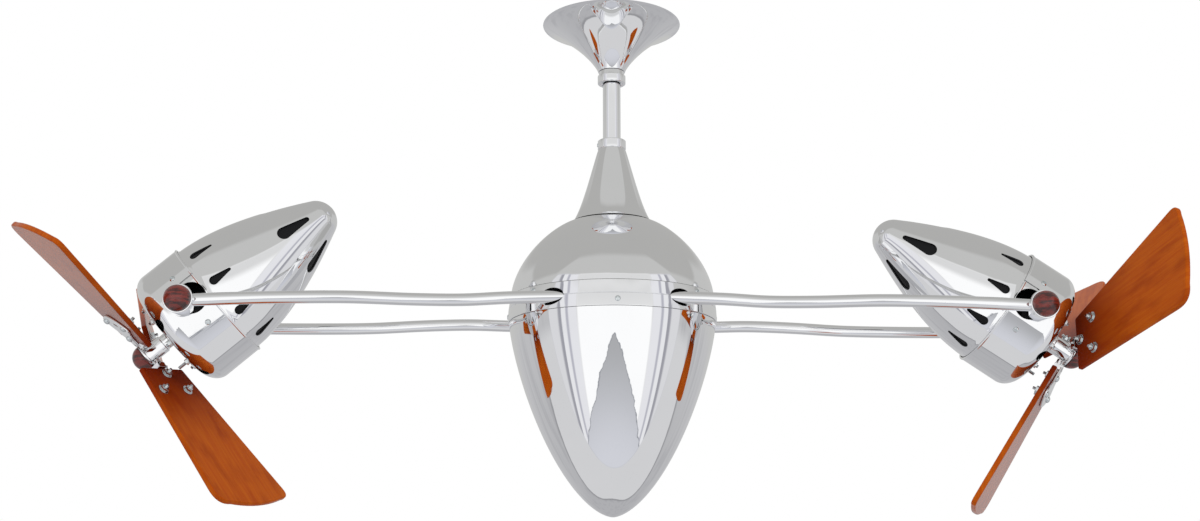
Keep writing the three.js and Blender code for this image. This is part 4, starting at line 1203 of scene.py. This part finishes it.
@dataclass
class TurningBody(Assembly):
    """The dome, the band with its screws, and the drop-shaped lower shell."""

    dome_crown: Point = (48.0, -250.0)
    dome_lip: Point = (118.4, -340.3)
    dome_bulge: Point = (1.342, 1.72)
    crown_hole: float = 20.0
    wall: float = 1.8
    band_top: float = -340.6
    band_line: float = -355.5
    band_foot: float = -370.1
    shell_top: Point = (120.2, -370.4)
    shell_tip: Point = (0.0, -592.0)
    shell_bulge: Point = (1.682, 1.339)
    arm_spread: float = 96.0
    arm_height: float = -356.4
    arm_hole: float = 9.8
    screw_head: Triple = (3.2, 1.3, 1.0)
    low_screws: Point = (-362.8, 121.4)
    high_screws: Point = (-346.0, 119.7)

    def build(self) -> None:
        """Builds every piece of the body's skin."""
        self.dome()
        self.band()
        self.band_screws()
        self.lower_shell()

    def dome(self) -> None:
        """The upper half of the body under the bell."""
        flank = swell(self.dome_lip, self.dome_crown, self.dome_bulge, 48)[::-1]
        outside = [(self.crown_hole, self.dome_crown[1]), *flank]
        inside = beside(outside, self.wall)[:-1]
        lip = self.dome_lip
        outline = [*outside, (lip[0] - self.wall, lip[1]), *reversed(inside)]
        piece = self.bench.turn("upper_dome", outline, 160)
        # The dome's inner faces are marked for painted shade.
        self.bench.mark_inner(piece, Vector((0, 0, lip[1] + 8)))
        self.shop.fit(piece, "carousel", Slot.CHROME, "dome")

    def band(self) -> None:
        """The band with its groove and the four holes that the arms leave by."""
        bench, top, line, foot = self.bench, self.band_top, self.band_line, self.band_foot
        outline = eased([
            (117.0, top, 0.2), (119.0, top, 0.5), (120.95, line + 0.5, 0.1), (120.3, line, 0.1),
            (121.1, line - 0.5, 0.3), (121.7, foot, 0.6), (117.0, foot, 0.2)], steps=2)
        piece = bench.turn("middle_band", outline, 160)
        drill = bench.prism("drill", ring(self.arm_hole, 48), 40, 140)
        places = [
            shift(0, row.value * self.arm_spread, self.arm_height) @ spun(90 * side.value, "Y")
            for row in Row for side in Side]
        bench.even(bench.cut(piece, *bench.spread(drill, places)))
        # The band's inner faces are marked for painted shade.
        bench.mark_inner(piece, Vector((0, 0, line)))
        self.shop.fit(piece, "carousel", Slot.CHROME, "ring_band")

    def band_screws(self) -> None:
        """Four low screws on the axes and four high ones beside the arms."""
        rows = ((self.low_screws, (0, 90, 180, 270)), (self.high_screws, (40, -40, 140, 220)))
        heads = self.bench.spread(self.screws.pan_screw("pattern", *self.screw_head), [
            radial(angle, height) @ shift(0, 0, radius)
            for (height, radius), angles in rows for angle in angles])
        self.shop.fit(self.bench.join("band_screw_heads", *heads), "carousel", Slot.STEEL)

    def lower_shell(self) -> None:
        """The drop-shaped shell under the band."""
        outside = swell(self.shell_top, self.shell_tip, self.shell_bulge, 72)
        inside = beside(outside, self.wall)[1:-1]
        outline = [
            *outside[::-1], (self.shell_top[0] - self.wall, self.shell_top[1]), *inside,
            (0.0, self.shell_tip[1] + self.wall)]
        piece = self.bench.turn("drop_shell", outline, 160, closed=False)
        # The shell's inner faces are marked for painted shade.
        self.bench.mark_inner(piece, Vector((0, 0, self.shell_top[1] - 40)))
        self.shop.fit(piece, "carousel", Slot.CHROME, "lower_shell")


# ---------------------------------------------------------------- arms


@dataclass
class Arm(Assembly):
    """One bent arm with the collar brazed to its end, and the knob in that collar."""

    side: Side
    row: Row
    radius: float = 7.0
    spread: float = 96.0
    height: float = -356.4
    pivot_reach: float = 477.0
    pivot_height: float = -362.0
    collar_face: float = 80.5
    collar_length: float = 21.1
    collar_radius: float = 16.3
    collar_wall: float = 2.4
    collar_bore: float = 5.4
    knob_radius: float = 14.7
    knob_skirt: Point = (13.1, 7.5)

    @property
    def name(self) -> str:
        """The arm's place as it stands in the names of nodes."""
        return f"{self.row.word}_{self.side.word}"

    def build(self) -> None:
        """Builds the arm and its knob."""
        self.arm()
        self.knob()

    def route(self) -> list[Vector]:
        """Draws the centre line from the clamp in the body to the collar.

        Returns:
            Points along the line.
        """
        start, end = 45, self.pivot_reach - self.collar_radius + self.collar_wall
        bends = (
            (18, 0), (start, 0), (70, -0.5), (120, -4), (170, -14.5), (225, -9.5), (290, 5.5),
            (350, 7), (415, 2.6), (end, self.collar_face + self.collar_length / 2 - self.spread))
        fall = (self.pivot_height - self.height) / (self.pivot_reach - start)
        return through([
            Vector((self.side.value * x, self.row.value * (self.spread + bend),
                    self.height + fall * max(x - start, 0))) for x, bend in bends], 6)

    def stand(self) -> Matrix:
        """Lays what stands on Z along the pivot's axis, outwards from the middle plane."""
        return shift(self.side.value * self.pivot_reach, 0, self.pivot_height) @ spun(
            -90 * self.row.value, "X")

    def arm(self) -> None:
        """The bent tube with its end collar."""
        tube = self.bench.tube("tube", self.route(), self.radius, 32)
        low, bore, radius = self.collar_face, self.collar_bore, self.collar_radius
        high, rim = low + self.collar_length, radius - self.collar_wall
        collar = self.bench.turn("collar", eased([
            (bore, low, 0.3), (radius, low, 1.0), (radius, high, 0.9), (rim + 0.3, high, 0.5),
            (rim, high - 8, 0.3), (bore, high - 8, 0.3)]), 72)
        self.bench.move(collar, self.stand())
        piece = self.bench.join(self.name + "_tube", tube, collar)
        self.shop.fit(piece, "carousel", Slot.CHROME, self.name + "_arm")

    def knob(self) -> None:
        """The turned half ball with its skirt in the collar."""
        seat = self.collar_face + self.collar_length + GAP
        radius, depth = self.knob_skirt
        skirt = seat - GAP - depth
        piece = self.bench.turn(self.name + "_half_ball", [
            (0, skirt), (radius, skirt), (radius, seat), *half_ball(self.knob_radius, seat, 1)],
            64, closed=False, smooth=50)
        self.bench.move(piece, self.stand())
        self.shop.fit(piece, self.name + "_knob", Slot.DARK_WOOD, self.name + "_knob")


# ---------------------------------------------------------------- heads


@dataclass
class MotorHead(Assembly):
    """One motor head, shaped with its nose along Z and its top side along X."""

    side: Side
    tilt: float
    nose_turn: float
    pivot_reach: float = 477.0
    pivot_height: float = -362.0
    cup_radius: float = 73.6
    cup_wall: float = 1.8
    cup_lip: float = 27.4
    cup_face: float = -40.0
    corner: Point = (25.0, 20.0)
    face_hole: float = 14.0
    pivot_opening: float = 18.0
    pivot_opening_place: float = 9.0
    vent: Point = (18.0, 15.0)
    vent_place: Point = (60.0, -33.0)
    vent_slope: float = 60.7
    nose_base: Point = (70.2, 30.0)
    nose_ball: float = 24.8
    nose_ball_place: float = 170.1
    nose_bulge: Point = (0.974, 1.664)
    nose_wall: float = 1.8
    motor_radius: float = 47.7
    motor_ends: Point = (-24.0, 42.0)
    ribs: int = 5
    slit: Point = (73.5, 1.5)
    near_slots: tuple[int, Point, Point] = (10, (40.5, 5.2), (61.0, 1.8))
    far_slots: tuple[int, Point, Point] = (5, (133.0, 7.5), (163.0, 2.9))
    studs_round: Triple = (42.0, -46.5, -54.0)
    screw_head: Triple = (3.4, 1.8, 1.0)

    @property
    def body(self) -> str:
        """The body that the head's pieces ride on."""
        return self.side.word + "_head"

    @property
    def stand(self) -> Matrix:
        """Places the head at its pivot, tilted as at rest."""
        side, roll = self.side.value, 180 if self.side is Side.LEFT else 0
        place = shift(side * self.pivot_reach, 0, self.pivot_height)
        return place @ spun(-side * (90 - self.tilt), "Y") @ spun(roll, "Z")

    def build(self) -> None:
        """Builds every piece of the head."""
        self.cup()
        self.nose()
        self.liner()
        self.motor()
        self.studs()
        self.cup_screws()

    def fit(self, piece: Piece, slot: Slot, *nodes: str) -> None:
        """Sets a piece shaped in the head's own frame in its place."""
        self.shop.fit(self.bench.move(piece, self.stand), self.body, slot, *nodes)

    def pivot_drill(self, radius: float) -> Piece:
        """A tool across the head where the pivots pass."""
        place = shift(0, 0, self.pivot_opening_place) @ spun(90, "X")
        return self.bench.move(self.bench.prism("drill", ring(radius, 60), -150, 150), place)

    def cup(self) -> None:
        """The cup round the motor with its vents, pivot openings and slits."""
        bench, radius, face, lip = self.bench, self.cup_radius, self.cup_face, self.cup_lip
        bead, wall = radius + 0.8, self.cup_wall

        def corner(shrink: float) -> Outline:
            """The rounded corner between face and side, drawn in by a wall."""
            centre = (radius - self.corner[0], face + self.corner[1])
            return swing(centre, (self.corner[0] - shrink, self.corner[1] - shrink), -90, 0, 18)

        cup = bench.turn("cup", eased([
            (self.face_hole, face, 0.4), *plain(corner(0)), (radius, lip - 2.4, 0.3),
            (bead, lip - 1.8, 0.5), (bead, lip, 0.6), (radius - wall, lip, 0.4),
            *plain(corner(wall)[::-1]), (self.face_hole, face + wall, 0.4)]), 144)
        vents = [self.vent_tool(18 + 72 * i) for i in range(5)]
        bench.cut(cup, self.pivot_drill(self.pivot_opening), *vents)
        angle, half = self.slit[0], self.slit[1] / 2
        slit = bench.prism("slit", [
            (radius - 8, -half), (radius + 8, -half), (radius + 8, half), (radius - 8, half)],
            8, lip + 2)
        bench.even(bench.cut(cup, *bench.spread(slit, [spun(angle, "Z"), spun(-angle, "Z")])))
        # The cup's inner faces are marked for painted shade.
        bench.mark_inner(cup, Vector((0, 0, 0)))
        cup.name = self.side.word + "_motor_cup"
        self.fit(cup, Slot.CHROME, self.side.word + "_cup")

    def vent_tool(self, degrees: float) -> Piece:
        """Makes a tool that cuts an oval hole square through the cup's corner.

        Args:
            degrees: Place of the hole round the cup.

        Returns:
            The tool.
        """
        half, (place, height) = self.corner[1] / 2, self.vent_place
        oval = swing((0, 0), (self.vent[0] / 2, self.vent[1] / 2), 0, 350, 35)
        stand = spun(degrees, "Z") @ shift(place, 0, height) @ spun(self.vent_slope - 90, "Y")
        return self.bench.move(self.bench.prism("oval", oval, -half, half), stand)

    def drop_tools(self, count: int, wide: Point, narrow: Point) -> list[Piece]:
        """Makes tools that cut a ring of drop-shaped slots, wide end towards the cup.

        Args:
            count: Number of slots round the nose.
            wide: Place along the axis and radius of the wide end.
            narrow: Place along the axis and radius of the narrow end.

        Returns:
            One tool for each slot.
        """
        bench = self.bench
        lean = math.degrees(math.asin((wide[1] - narrow[1]) / (narrow[0] - wide[0])))
        outline = [
            *swing((wide[0], 0), (wide[1], wide[1]), 90 - lean, 270 + lean, 16),
            *swing((narrow[0], 0), (narrow[1], narrow[1]), lean - 90, 90 - lean, 8)]
        drop = bench.prism("drop", outline, wide[1], self.cup_radius + 2)
        bench.move(drop, spun(180, "Z") @ spun(-90, "Y"))
        return bench.spread(drop, [
            spun(18 + self.nose_turn + 360 * i / count, "Z") for i in range(count)])

    def flank(self, steps: int, ball_steps: int) -> Outline:
        """Draws the outside of the nose.

        Args:
            steps: Number of steps from the cup to the ball at the tip.
            ball_steps: Number of steps on the ball.

        Returns:
            Points from the cup to the tip.
        """
        tip, radius = self.nose_ball_place, self.nose_ball
        ball = swing((0, tip), (radius, radius), 25, 90, ball_steps)
        ball[-1] = (0.0, tip + radius)
        return [*swell(self.nose_base, ball[0], self.nose_bulge, steps), *ball[1:]]

    def nose(self) -> None:
        """The bullet-shaped nose with two rings of drop-shaped slots."""
        bench, wall, lip = self.bench, self.nose_wall, self.cup_lip
        outside = self.flank(44, 14)
        inside = beside(outside, -wall)
        inside[-1] = (0.0, outside[-1][1] - wall)
        skirt = self.cup_radius - self.cup_wall - 2 * GAP
        bore, start = skirt - wall, 10 + GAP
        outline = [
            *inside[:0:-1], (bore - wall / 2, self.nose_base[1]), (bore, lip), (bore, start),
            (skirt, start), (skirt, lip + GAP), *outside]
        nose = bench.turn("nose", outline, 144, closed=False)
        bench.cut(nose, self.pivot_drill(self.pivot_opening + 1))
        bench.cut(nose, *self.drop_tools(*self.near_slots))
        bench.even(bench.cut(nose, *self.drop_tools(*self.far_slots)))
        # The nose's inner faces are marked for painted shade.
        bench.mark_inner(nose, Vector((0, 0, 40)))
        nose.name = self.side.word + "_nose_cone"
        self.fit(nose, Slot.CHROME, self.side.word + "_nose_shell")

    def liner(self) -> None:
        """A black sheet inside the nose, painted shade that shows through the nose's slots."""
        # Painted shade: a dark matte sheet just inside the nose's wall, so the slots show black where
        # the nose is only in shade.
        skins = [beside(self.flank(30, 10), -self.nose_wall - depth) for depth in (0.8, 1.6)]
        for skin in skins:
            skin[-1] = (0.0, skin[-1][1])
        piece = self.bench.turn("lining", [*skins[1][::-1], *skins[0]], 72, closed=False)
        piece.name = self.side.word + "_nose_lining"
        self.fit(piece, Slot.BLACK_STEEL)

    def motor(self) -> None:
        """The closed can of the motor, with its end caps and cooling ribs."""
        radius, (low, high) = self.motor_radius, self.motor_ends
        ribs: list[Triple] = []
        for i in range(self.ribs):
            place, floor = low + 14 + i * 9.5, radius - 1.2
            ribs += [(radius, place, 0.3), (floor, place + 1, 0.3),
                     (floor, place + 3, 0.3), (radius, place + 4, 0.3)]
        outline = eased([
            (5.4, low, 0.3), (radius - 4, low, 1.5), (radius, low + 5, 1.5), *ribs,
            (radius, high - 5, 1.5), (radius - 4, high, 1.5), (5.4, high, 0.3)])
        can = self.bench.turn(self.side.word + "_motor_can", outline, 64)
        self.fit(can, Slot.BLACK_STEEL, self.side.word + "_motor_housing")

    def studs(self) -> None:
        """The eight studs whose nuts hold the cup's face, one of them long."""
        bench, (radius, short, long) = self.bench, self.studs_round
        angles = [math.radians(22.5 + 45 * i) for i in range(8)]
        places = [shift(radius * math.cos(a), radius * math.sin(a), 0) for a in angles]
        alone = [places.pop(3)]
        studs = bench.spread(self.screws.stud("short_stud", short), places)
        studs += bench.spread(self.screws.stud("long_stud", long), alone)
        self.fit(bench.join(self.side.word + "_motor_studs", *studs), Slot.STEEL)

    def cup_screws(self) -> None:
        """The four screws that hold the cup to the motor frame."""
        heads = self.bench.spread(self.screws.pan_screw("pattern", *self.screw_head), [
            radial(angle, 6.5) @ shift(0, 0, self.cup_radius) for angle in (64, 116, -64, -116)])
        self.fit(self.bench.join(self.side.word + "_cup_screw_heads", *heads), Slot.STEEL)


@dataclass
class Rotor(Assembly):
    """The hub of one head with its finial, blade irons and blades."""

    head: MotorHead
    blade_angle: float
    trims: tuple[Triple, ...]
    hub_radius: float = 10.5
    flange_radius: float = 14.8
    flange: Point = (-73.2, -75.7)
    finial_radius: float = 15.3
    finial_seat: float = -76.0
    pitch: float = 23.5
    lean: float = 3.43
    blade_place: float = -69.2
    blade_root: float = 24.5
    root_edges: Point = (32.3, -34.8)
    blade_reach: float = 214.0
    tip_edges: Point = (82.0, -42.0)
    tip_corners: Point = (14.0, 22.0)
    tip_bow: float = 5.0
    thickness: float = 6.0
    bolt_places: tuple[Point, ...] = ((33.0, 0.0), (57.0, -22.0), (57.0, 18.0))
    leaf_faces: Point = (-5.8, -3.3)
    leaf_edge: tuple[Point, ...] = (
        (18.5, -6.0), (38.25, -14.5), (57.0, -29.0), (71.0, -2.0), (57.0, 25.0), (38.25, 12.5),
        (18.5, 6.0))

    @property
    def name(self) -> str:
        """The side in names."""
        return self.head.side.word

    @property
    def stand(self) -> Matrix:
        """Places what is shaped in the rotor's own frame."""
        return self.head.stand @ spun(self.blade_angle, "Z")

    def station(self, index: int) -> Matrix:
        """Places a blade's own frame at its station round the hub."""
        turn, lean, pitch = self.trims[index]
        place = self.stand @ spun(120 * index + turn, "Z") @ shift(0, 0, self.blade_place)
        return place @ spun(self.lean + lean, "Y") @ spun(self.pitch + pitch, "X")

    def fit(self, piece: Piece, place: Matrix, slot: Slot, *nodes: str) -> None:
        """Sets a piece of the rotor in its place."""
        self.shop.fit(self.bench.move(piece, place), self.name + "_rotor", slot, *nodes)

    def build(self) -> None:
        """Builds the hub, the finial, and three irons and blades."""
        self.hub()
        self.finial()
        iron, bolts, blade = self.iron(), self.bolts(), self.blade()
        bench, name = self.bench, self.name
        for index in range(3):
            number, place = index + 1, self.station(index)
            self.fit(bench.copy(iron, f"{name}_iron_plate_{number}"), place, Slot.CHROME,
                     f"{name}_blade_iron_{number}")
            self.fit(bench.copy(bolts, f"{name}_blade_bolts_{number}"), place, Slot.STEEL)
            wood = bench.copy(blade, f"{name}_wood_blade_{number}")
            board = index + 3 * (self.head.side is Side.RIGHT)
            self.grain(wood, BladeWood.stretch * board, 1.7 * index)
            self.fit(wood, place, Slot.BLADE_WOOD, f"{name}_blade_{number}")
        bench.scrap(iron, bolts, blade)

    def hub(self) -> None:
        """The hub with its collar towards the motor and its flange under the finial."""
        radius, flange, (top, foot) = self.hub_radius, self.flange_radius, self.flange
        hub = self.bench.turn("hub", eased([
            (5.3, -44, 0.2), (9, -44, 0.6), (9, -51, 0.3), (radius, -51, 0.8), (radius, top, 0.6),
            (flange, top, 0.6), (flange, foot, 0.6), (5.3, foot, 0.2)]), 64)
        screw = self.bench.move(self.screws.grub_screw("screw", 1.8, 5.4, 9.4), radial(60, -47.5))
        piece = self.bench.join(self.name + "_hub_drum", hub, screw)
        self.fit(piece, self.stand, Slot.CHROME, self.name + "_hub")

    def finial(self) -> None:
        """The dark half ball on the end of the shaft."""
        outline = [(0, self.finial_seat), *half_ball(self.finial_radius, self.finial_seat, -1)]
        piece = self.bench.turn(self.name + "_half_ball", outline, 64, closed=False, smooth=50)
        self.fit(piece, self.stand, Slot.DARK_WOOD, self.name + "_finial")

    def iron(self) -> Piece:
        """Makes a blade's iron: a slotted leaf, its root block and its stem.

        Returns:
            The iron in the blade's own frame.
        """
        bench, (back, face) = self.bench, self.leaf_faces
        edge = through([Vector((x, y, 0)) for x, y in self.leaf_edge], 6)
        leaf = bench.prism("leaf", [(p.x, p.y) for p in edge], back, face)
        slot = bench.prism("slot", stadium(0, 0, 15, 4.5), -12, 0)
        bench.move(slot, shift(57, -2, 0) @ spun(90, "Z"))
        leaf = bench.rim(bench.cut(leaf, slot), 0.6, 2)
        start, end, half = 16.3, 23.5, 6
        block = bench.prism("block", eased([
            (start, -half, 1), (end, -half, 1), (end, half, 1), (start, half, 1)]), back, 4.7)
        block = bench.rim(block, 0.5, 2)
        stem = bench.dowel("stem", 3.2, (10.8, 22.5), (0.3, 0.3), 28)
        bench.move(stem, shift(0, 0, 1.5) @ spun(90, "Y"))
        return bench.join("iron", leaf, block, stem)

    def bolts(self) -> Piece:
        """The three bolts of a blade."""
        places = [shift(x, y, 0) for x, y in self.bolt_places]
        return self.bench.join("bolts", *self.bench.spread(self.screws.blade_bolt("bolt"), places))

    def blade(self) -> Piece:
        """Makes a flat wooden blade along X, wider and rounded towards its tip.

        Returns:
            The blade in its own frame.
        """
        high, low = (Vector((self.blade_reach, edge)) for edge in self.tip_edges)
        root_high, root_low = (Vector((self.blade_root, edge)) for edge in self.root_edges)
        high_corner, low_corner = self.tip_corners

        def towards(start: Vector, end: Vector, distance: float) -> Vector:
            """The point at a distance on the way from start to end."""
            return start + (end - start).normalized() * distance

        def bend(start: Vector, via: Vector, end: Vector) -> list[Vector]:
            """A curve from start to end, drawn towards a third point."""
            shares = [k / 10 for k in range(1, 11)]
            return [start * (1 - t) ** 2 + via * 2 * t * (1 - t) + end * t**2 for t in shares]

        low_edge, high_edge = towards(low, root_low, low_corner), towards(high, root_high, high_corner)
        tip_low, tip_high = towards(low, high, low_corner), towards(high, low, high_corner)
        bow = (tip_low + tip_high) / 2 + Vector((2 * self.tip_bow, 0))
        outline = [
            root_low, low_edge, *bend(low_edge, low, tip_low), *bend(tip_low, bow, tip_high),
            *bend(tip_high, high, high_edge), root_high]
        half = self.thickness / 2
        blade = self.bench.prism("blade", [(p.x, p.y) for p in outline], -half, half)
        return self.bench.rim(blade, 1.6, 4)

    def grain(self, blade: Piece, along: float, across: float) -> None:
        """Lays the grain's UV map on a blade that still lies along X.

        Args:
            blade: The flat blade.
            along: Start of its own stretch of grain, in decimetres.
            across: Sideways start of that stretch.
        """
        mesh, decimetre = blade.data, 10
        layer = mesh.uv_layers.get("grain") or mesh.uv_layers.new(name="grain")
        mesh.uv_layers.active = layer
        for loop in mesh.loops:
            place = mesh.vertices[loop.vertex_index].co * decimetre
            layer.data[loop.index].uv = (along + place.x, across + place.y + place.z * 0.4)


# ---------------------------------------------------------------- studio


class Room:
    """The studio that the chrome mirrors, painted by direction.

    In a direction X is to the right, Y away from the camera and Z up.
    """

    WALL = (0.57, 0.57, 0.56)
    CEILING = (0.46, 0.457, 0.445)
    GROUND = (0.47, 0.47, 0.485)
    SKIRTING = (0.56, 0.56, 0.57)
    STREAK = (0.36, 0.36, 0.38)
    SHEET = (0.68, 0.68, 0.69)
    SHEET_EDGE = (0.26, 0.26, 0.275)
    SCREEN = (1.07, 1.07, 1.07)
    SCREEN_TOP = (0.72, 0.72, 0.72)
    GAP_EDGE = (0.30, 0.31, 0.34)
    GAP_TOP = (0.44, 0.445, 0.46)
    GAP_FOOT = (0.68, 0.69, 0.74)
    BARS = (
        (41, 43, (0.84, 0.84, 0.87)), (51, 53, (0.50, 0.50, 0.56)), (54, 56, (0.86, 0.86, 0.88)),
        (60, 61, (0.36, 0.36, 0.40)), (63, 66, (0.74, 0.74, 0.76)), (82, 90, (0.50, 0.50, 0.52)))

    def __init__(self, board: Board) -> None:
        """Splits a direction into what the room is painted by.

        Args:
            board: The world's board.
        """
        self.board = board
        self.way = board.node("TexCoord", output="Generated")
        x, self.y, self.z = (
            board.node("SeparateXYZ", None, {0: self.way}, axis) for axis in "XYZ")
        self.wide = board.node("Math", {"operation": "ABSOLUTE"}, {0: x})
        self.spread = self.wide * self.wide
        self.turn = board.math("ARCTAN2", self.wide, self.y * -1) * (180 / math.pi)
        self.shake = board.noise(self.way, 2.5, 3, stretch=(3, 3, 9)) - 0.5
        self.drift = board.noise(self.way, 1.6, 2) - 0.5

    def walls(self) -> Signal:
        """Paints the wall, the ceiling over it and the streaked room below.

        Returns:
            The colour by direction.
        """
        board, y, z = self.board, self.y, self.z
        flank = board.ease(self.turn, 55, 75) * (1 - board.ease(y, 0.2, 0.5))
        over = board.ease(z + y * 0.35 + flank * 0.28 + self.drift * 0.1, 0.64, 0.76)
        room = board.blend(over, self.WALL, self.CEILING)
        under = board.blend(board.ease(z, -0.8, 0.1), self.GROUND, self.SKIRTING)
        room = board.blend(board.ease(z, 0.1, -0.05), room, under)
        streak = board.noise(self.way, 1.5, 3, stretch=(7, 7, 0.5)) - 0.5
        share = board.ease(streak, -0.02, 0.16) * 0.35 * board.ease(z, 0.1, -0.1)
        return board.blend(share, room, self.STREAK)

    def sheet(self, room: Signal) -> Signal:
        """Paints the pale sheet on the ground with its dark edge.

        Args:
            room: The room so far.

        Returns:
            The room with the sheet.
        """
        board, z, spread = self.board, self.z, self.spread
        bound = -0.033 + spread * 1.27 - spread * spread * 1.2 + self.shake * 0.03 - self.y
        lit = board.ease(bound, 0.0, 0.02) * board.ease(z, -0.08, -0.2)
        rim = board.ease(bound, -0.05, -0.01) * board.ease(z, -0.15, -0.3)
        room = board.blend(rim * (1 - lit) * 0.7, room, self.SHEET_EDGE)
        return board.blend(lit, room, self.SHEET)

    def screen(self, room: Signal) -> Signal:
        """Paints the white screen, the bars beside it and the dark gap under it.

        Args:
            room: The room so far.

        Returns:
            The room with the screen.
        """
        board, z, turn = self.board, self.z, self.turn
        low = board.ease(-0.467 + self.spread * 0.25 - self.y, 0.0, 0.015)
        front = low * (1 - board.ease(z + self.drift * 0.08, 0.44, 0.5))
        for start, end, tone in self.BARS:
            room = board.blend(board.ease(turn, start, end) * front, room, tone)
        screen = front * (1 - board.ease(turn, 40, 43))
        room = board.blend(screen, room, self.SCREEN)
        room = board.blend(screen * board.ease(z, 0.1, 0.3) * 0.9, room, self.SCREEN_TOP)
        gap = 1.35 * (z * -1 - 0.262) + self.shake * 0.14 - self.wide
        edge = board.ease(gap, -0.015, 0.0) * front * (1 - board.ease(turn, 57, 61))
        room = board.blend(edge, room, self.GAP_EDGE)
        heart = board.blend(board.ease(z, -0.3, -0.85), self.GAP_TOP, self.GAP_FOOT)
        return board.blend(edge * board.ease(gap, 0.0, 0.02), room, heart)

    def paint(self) -> Signal:
        """The colour of the whole room by direction."""
        return self.screen(self.sheet(self.walls()))


@dataclass
class Studio:
    """The pale floor, the soft light and the camera at the photograph's place."""

    shop: Workshop
    eye: Triple = (-79.5, -1608.5, -651.8)
    heading: float = 0.0405
    rise: float = 0.2186
    roll: float = 0.0011
    lens: float = 42.0
    floor_height: float = -2000.0
    fill: Triple = (0.72, 0.72, 0.72)
    backdrop: Triple = (1.0, 1.0, 1.0)
    lamps: tuple[tuple[Triple, float, float], ...] = (
        ((-1600.0, -2200.0, 900.0), 1500.0, 26.0),
        ((1700.0, -2000.0, 700.0), 1500.0, 22.0),
        ((0.0, 1600.0, 1400.0), 1800.0, 16.0),
    )

    def build(self) -> None:
        """Sets up everything that isn't the object."""
        self.camera()
        self.world()
        self.floor()
        for number, (place, size, power) in enumerate(self.lamps):
            self.lamp(number + 1, place, size, power)
        bpy.context.scene.view_settings.view_transform = "Standard"

    def camera(self) -> None:
        """The camera low in front of the fan, looking up."""
        data = bpy.data.cameras.new("camera")
        data.lens, data.sensor_width, data.sensor_fit = self.lens, 36.0, "HORIZONTAL"
        data.clip_end = 50.0
        camera = bpy.data.objects.new("camera", data)
        bpy.context.scene.collection.objects.link(camera)
        level = Vector((math.cos(self.heading), -math.sin(self.heading), 0))
        ahead = Vector((math.sin(self.heading), math.cos(self.heading), 0))
        forward = ahead * math.cos(self.rise) + Vector((0, 0, math.sin(self.rise)))
        upright = level.cross(forward)
        right = level * math.cos(self.roll) - upright * math.sin(self.roll)
        up = level * math.sin(self.roll) + upright * math.cos(self.roll)
        turn = Matrix((right, up, -forward)).transposed().to_4x4()
        camera.matrix_world = shift(*self.eye) @ turn
        bpy.context.scene.camera = camera

    def world(self) -> None:
        """White behind the object, a grey fill of light on it, and the room in its gloss."""
        world = bpy.data.worlds.new("studio")
        bpy.context.scene.world = world
        world.use_nodes = True
        board = Board(world.node_tree)
        camera, glossy, clear = (board.node("LightPath", output=f"Is {kind} Ray") for kind in (
            "Camera", "Glossy", "Transmission"))
        seen = board.blend(glossy, self.fill, Room(board).paint())
        seen = board.blend(board.math("MAXIMUM", camera, clear), seen, self.backdrop)
        shade = board.node("Background", None, {"Color": seen, "Strength": 1.0})
        board.show(shade, "OutputWorld")

    def floor(self) -> None:
        """The pale floor far under the fan."""
        bench = self.shop.bench
        bench.clear()
        bpy.ops.mesh.primitive_plane_add(size=12, location=(0, 0, self.floor_height * MM))
        floor = bench.settle(bpy.context.active_object)
        floor.name = "floor"
        floor.visible_glossy = False
        material = bpy.data.materials.new("floor")
        material.use_nodes = True
        board = Board(material.node_tree)
        mottle = board.noise(board.node("TexCoord", output="Object"), 3)
        tone = board.blend(mottle * 0.3, (0.86, 0.86, 0.86), (0.80, 0.80, 0.80))
        surface = board.node("BsdfPrincipled", None, {"Base Color": tone, "Roughness": 0.8})
        board.show(surface)
        floor.data.materials.append(material)

    def lamp(self, number: int, place: Triple, size: float, power: float) -> None:
        """Hangs a large soft lamp aimed at the fan's middle.

        Args:
            number: Number in the lamp's name.
            place: Place in millimetres.
            size: Length of its sides in millimetres.
            power: Power in watts.
        """
        data = bpy.data.lights.new(f"soft_lamp_{number}", "AREA")
        data.shape, data.size, data.energy = "SQUARE", size * MM, power
        lamp = bpy.data.objects.new(f"soft_lamp_{number}", data)
        bpy.context.scene.collection.objects.link(lamp)
        away = Vector(place) - Vector((0, 0, -350))
        lamp.matrix_world = shift(*place) @ away.to_track_quat("Z", "Y").to_matrix().to_4x4()
        lamp.visible_glossy = False


def main() -> None:
    """Builds the fan's looks in order."""
    logging.basicConfig(level=logging.INFO, format="%(name)s: %(message)s")
    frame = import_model()
    shop = Workshop(frame)
    shop.keep()
    screws = Fasteners(shop.bench)
    CeilingMount(shop, screws).build()
    TurningBody(shop, screws).build()
    for side in Side:
        for row in Row:
            Arm(shop, screws, side, row).build()
    left = MotorHead(shop, screws, Side.LEFT, tilt=41.0, nose_turn=0.0)
    right = MotorHead(shop, screws, Side.RIGHT, tilt=34.0, nose_turn=36.0)
    left_trims = ((1.2, 1.6, -0.5), (0.0, 0.0, 0.0), (-1.1, -2.9, -6.6))
    right_trims = ((1.9, 0.8, 0.7), (0.0, 0.0, 0.0), (0.0, 0.3, -4.5))
    for head, blade_angle, trims in ((left, 167.3, left_trims), (right, -68.5, right_trims)):
        head.build()
        Rotor(shop, screws, head, blade_angle, trims).build()
    Studio(shop).build()
    LOG.info("%d pieces fitted", shop.count)


if __name__ == "__main__":
    main()
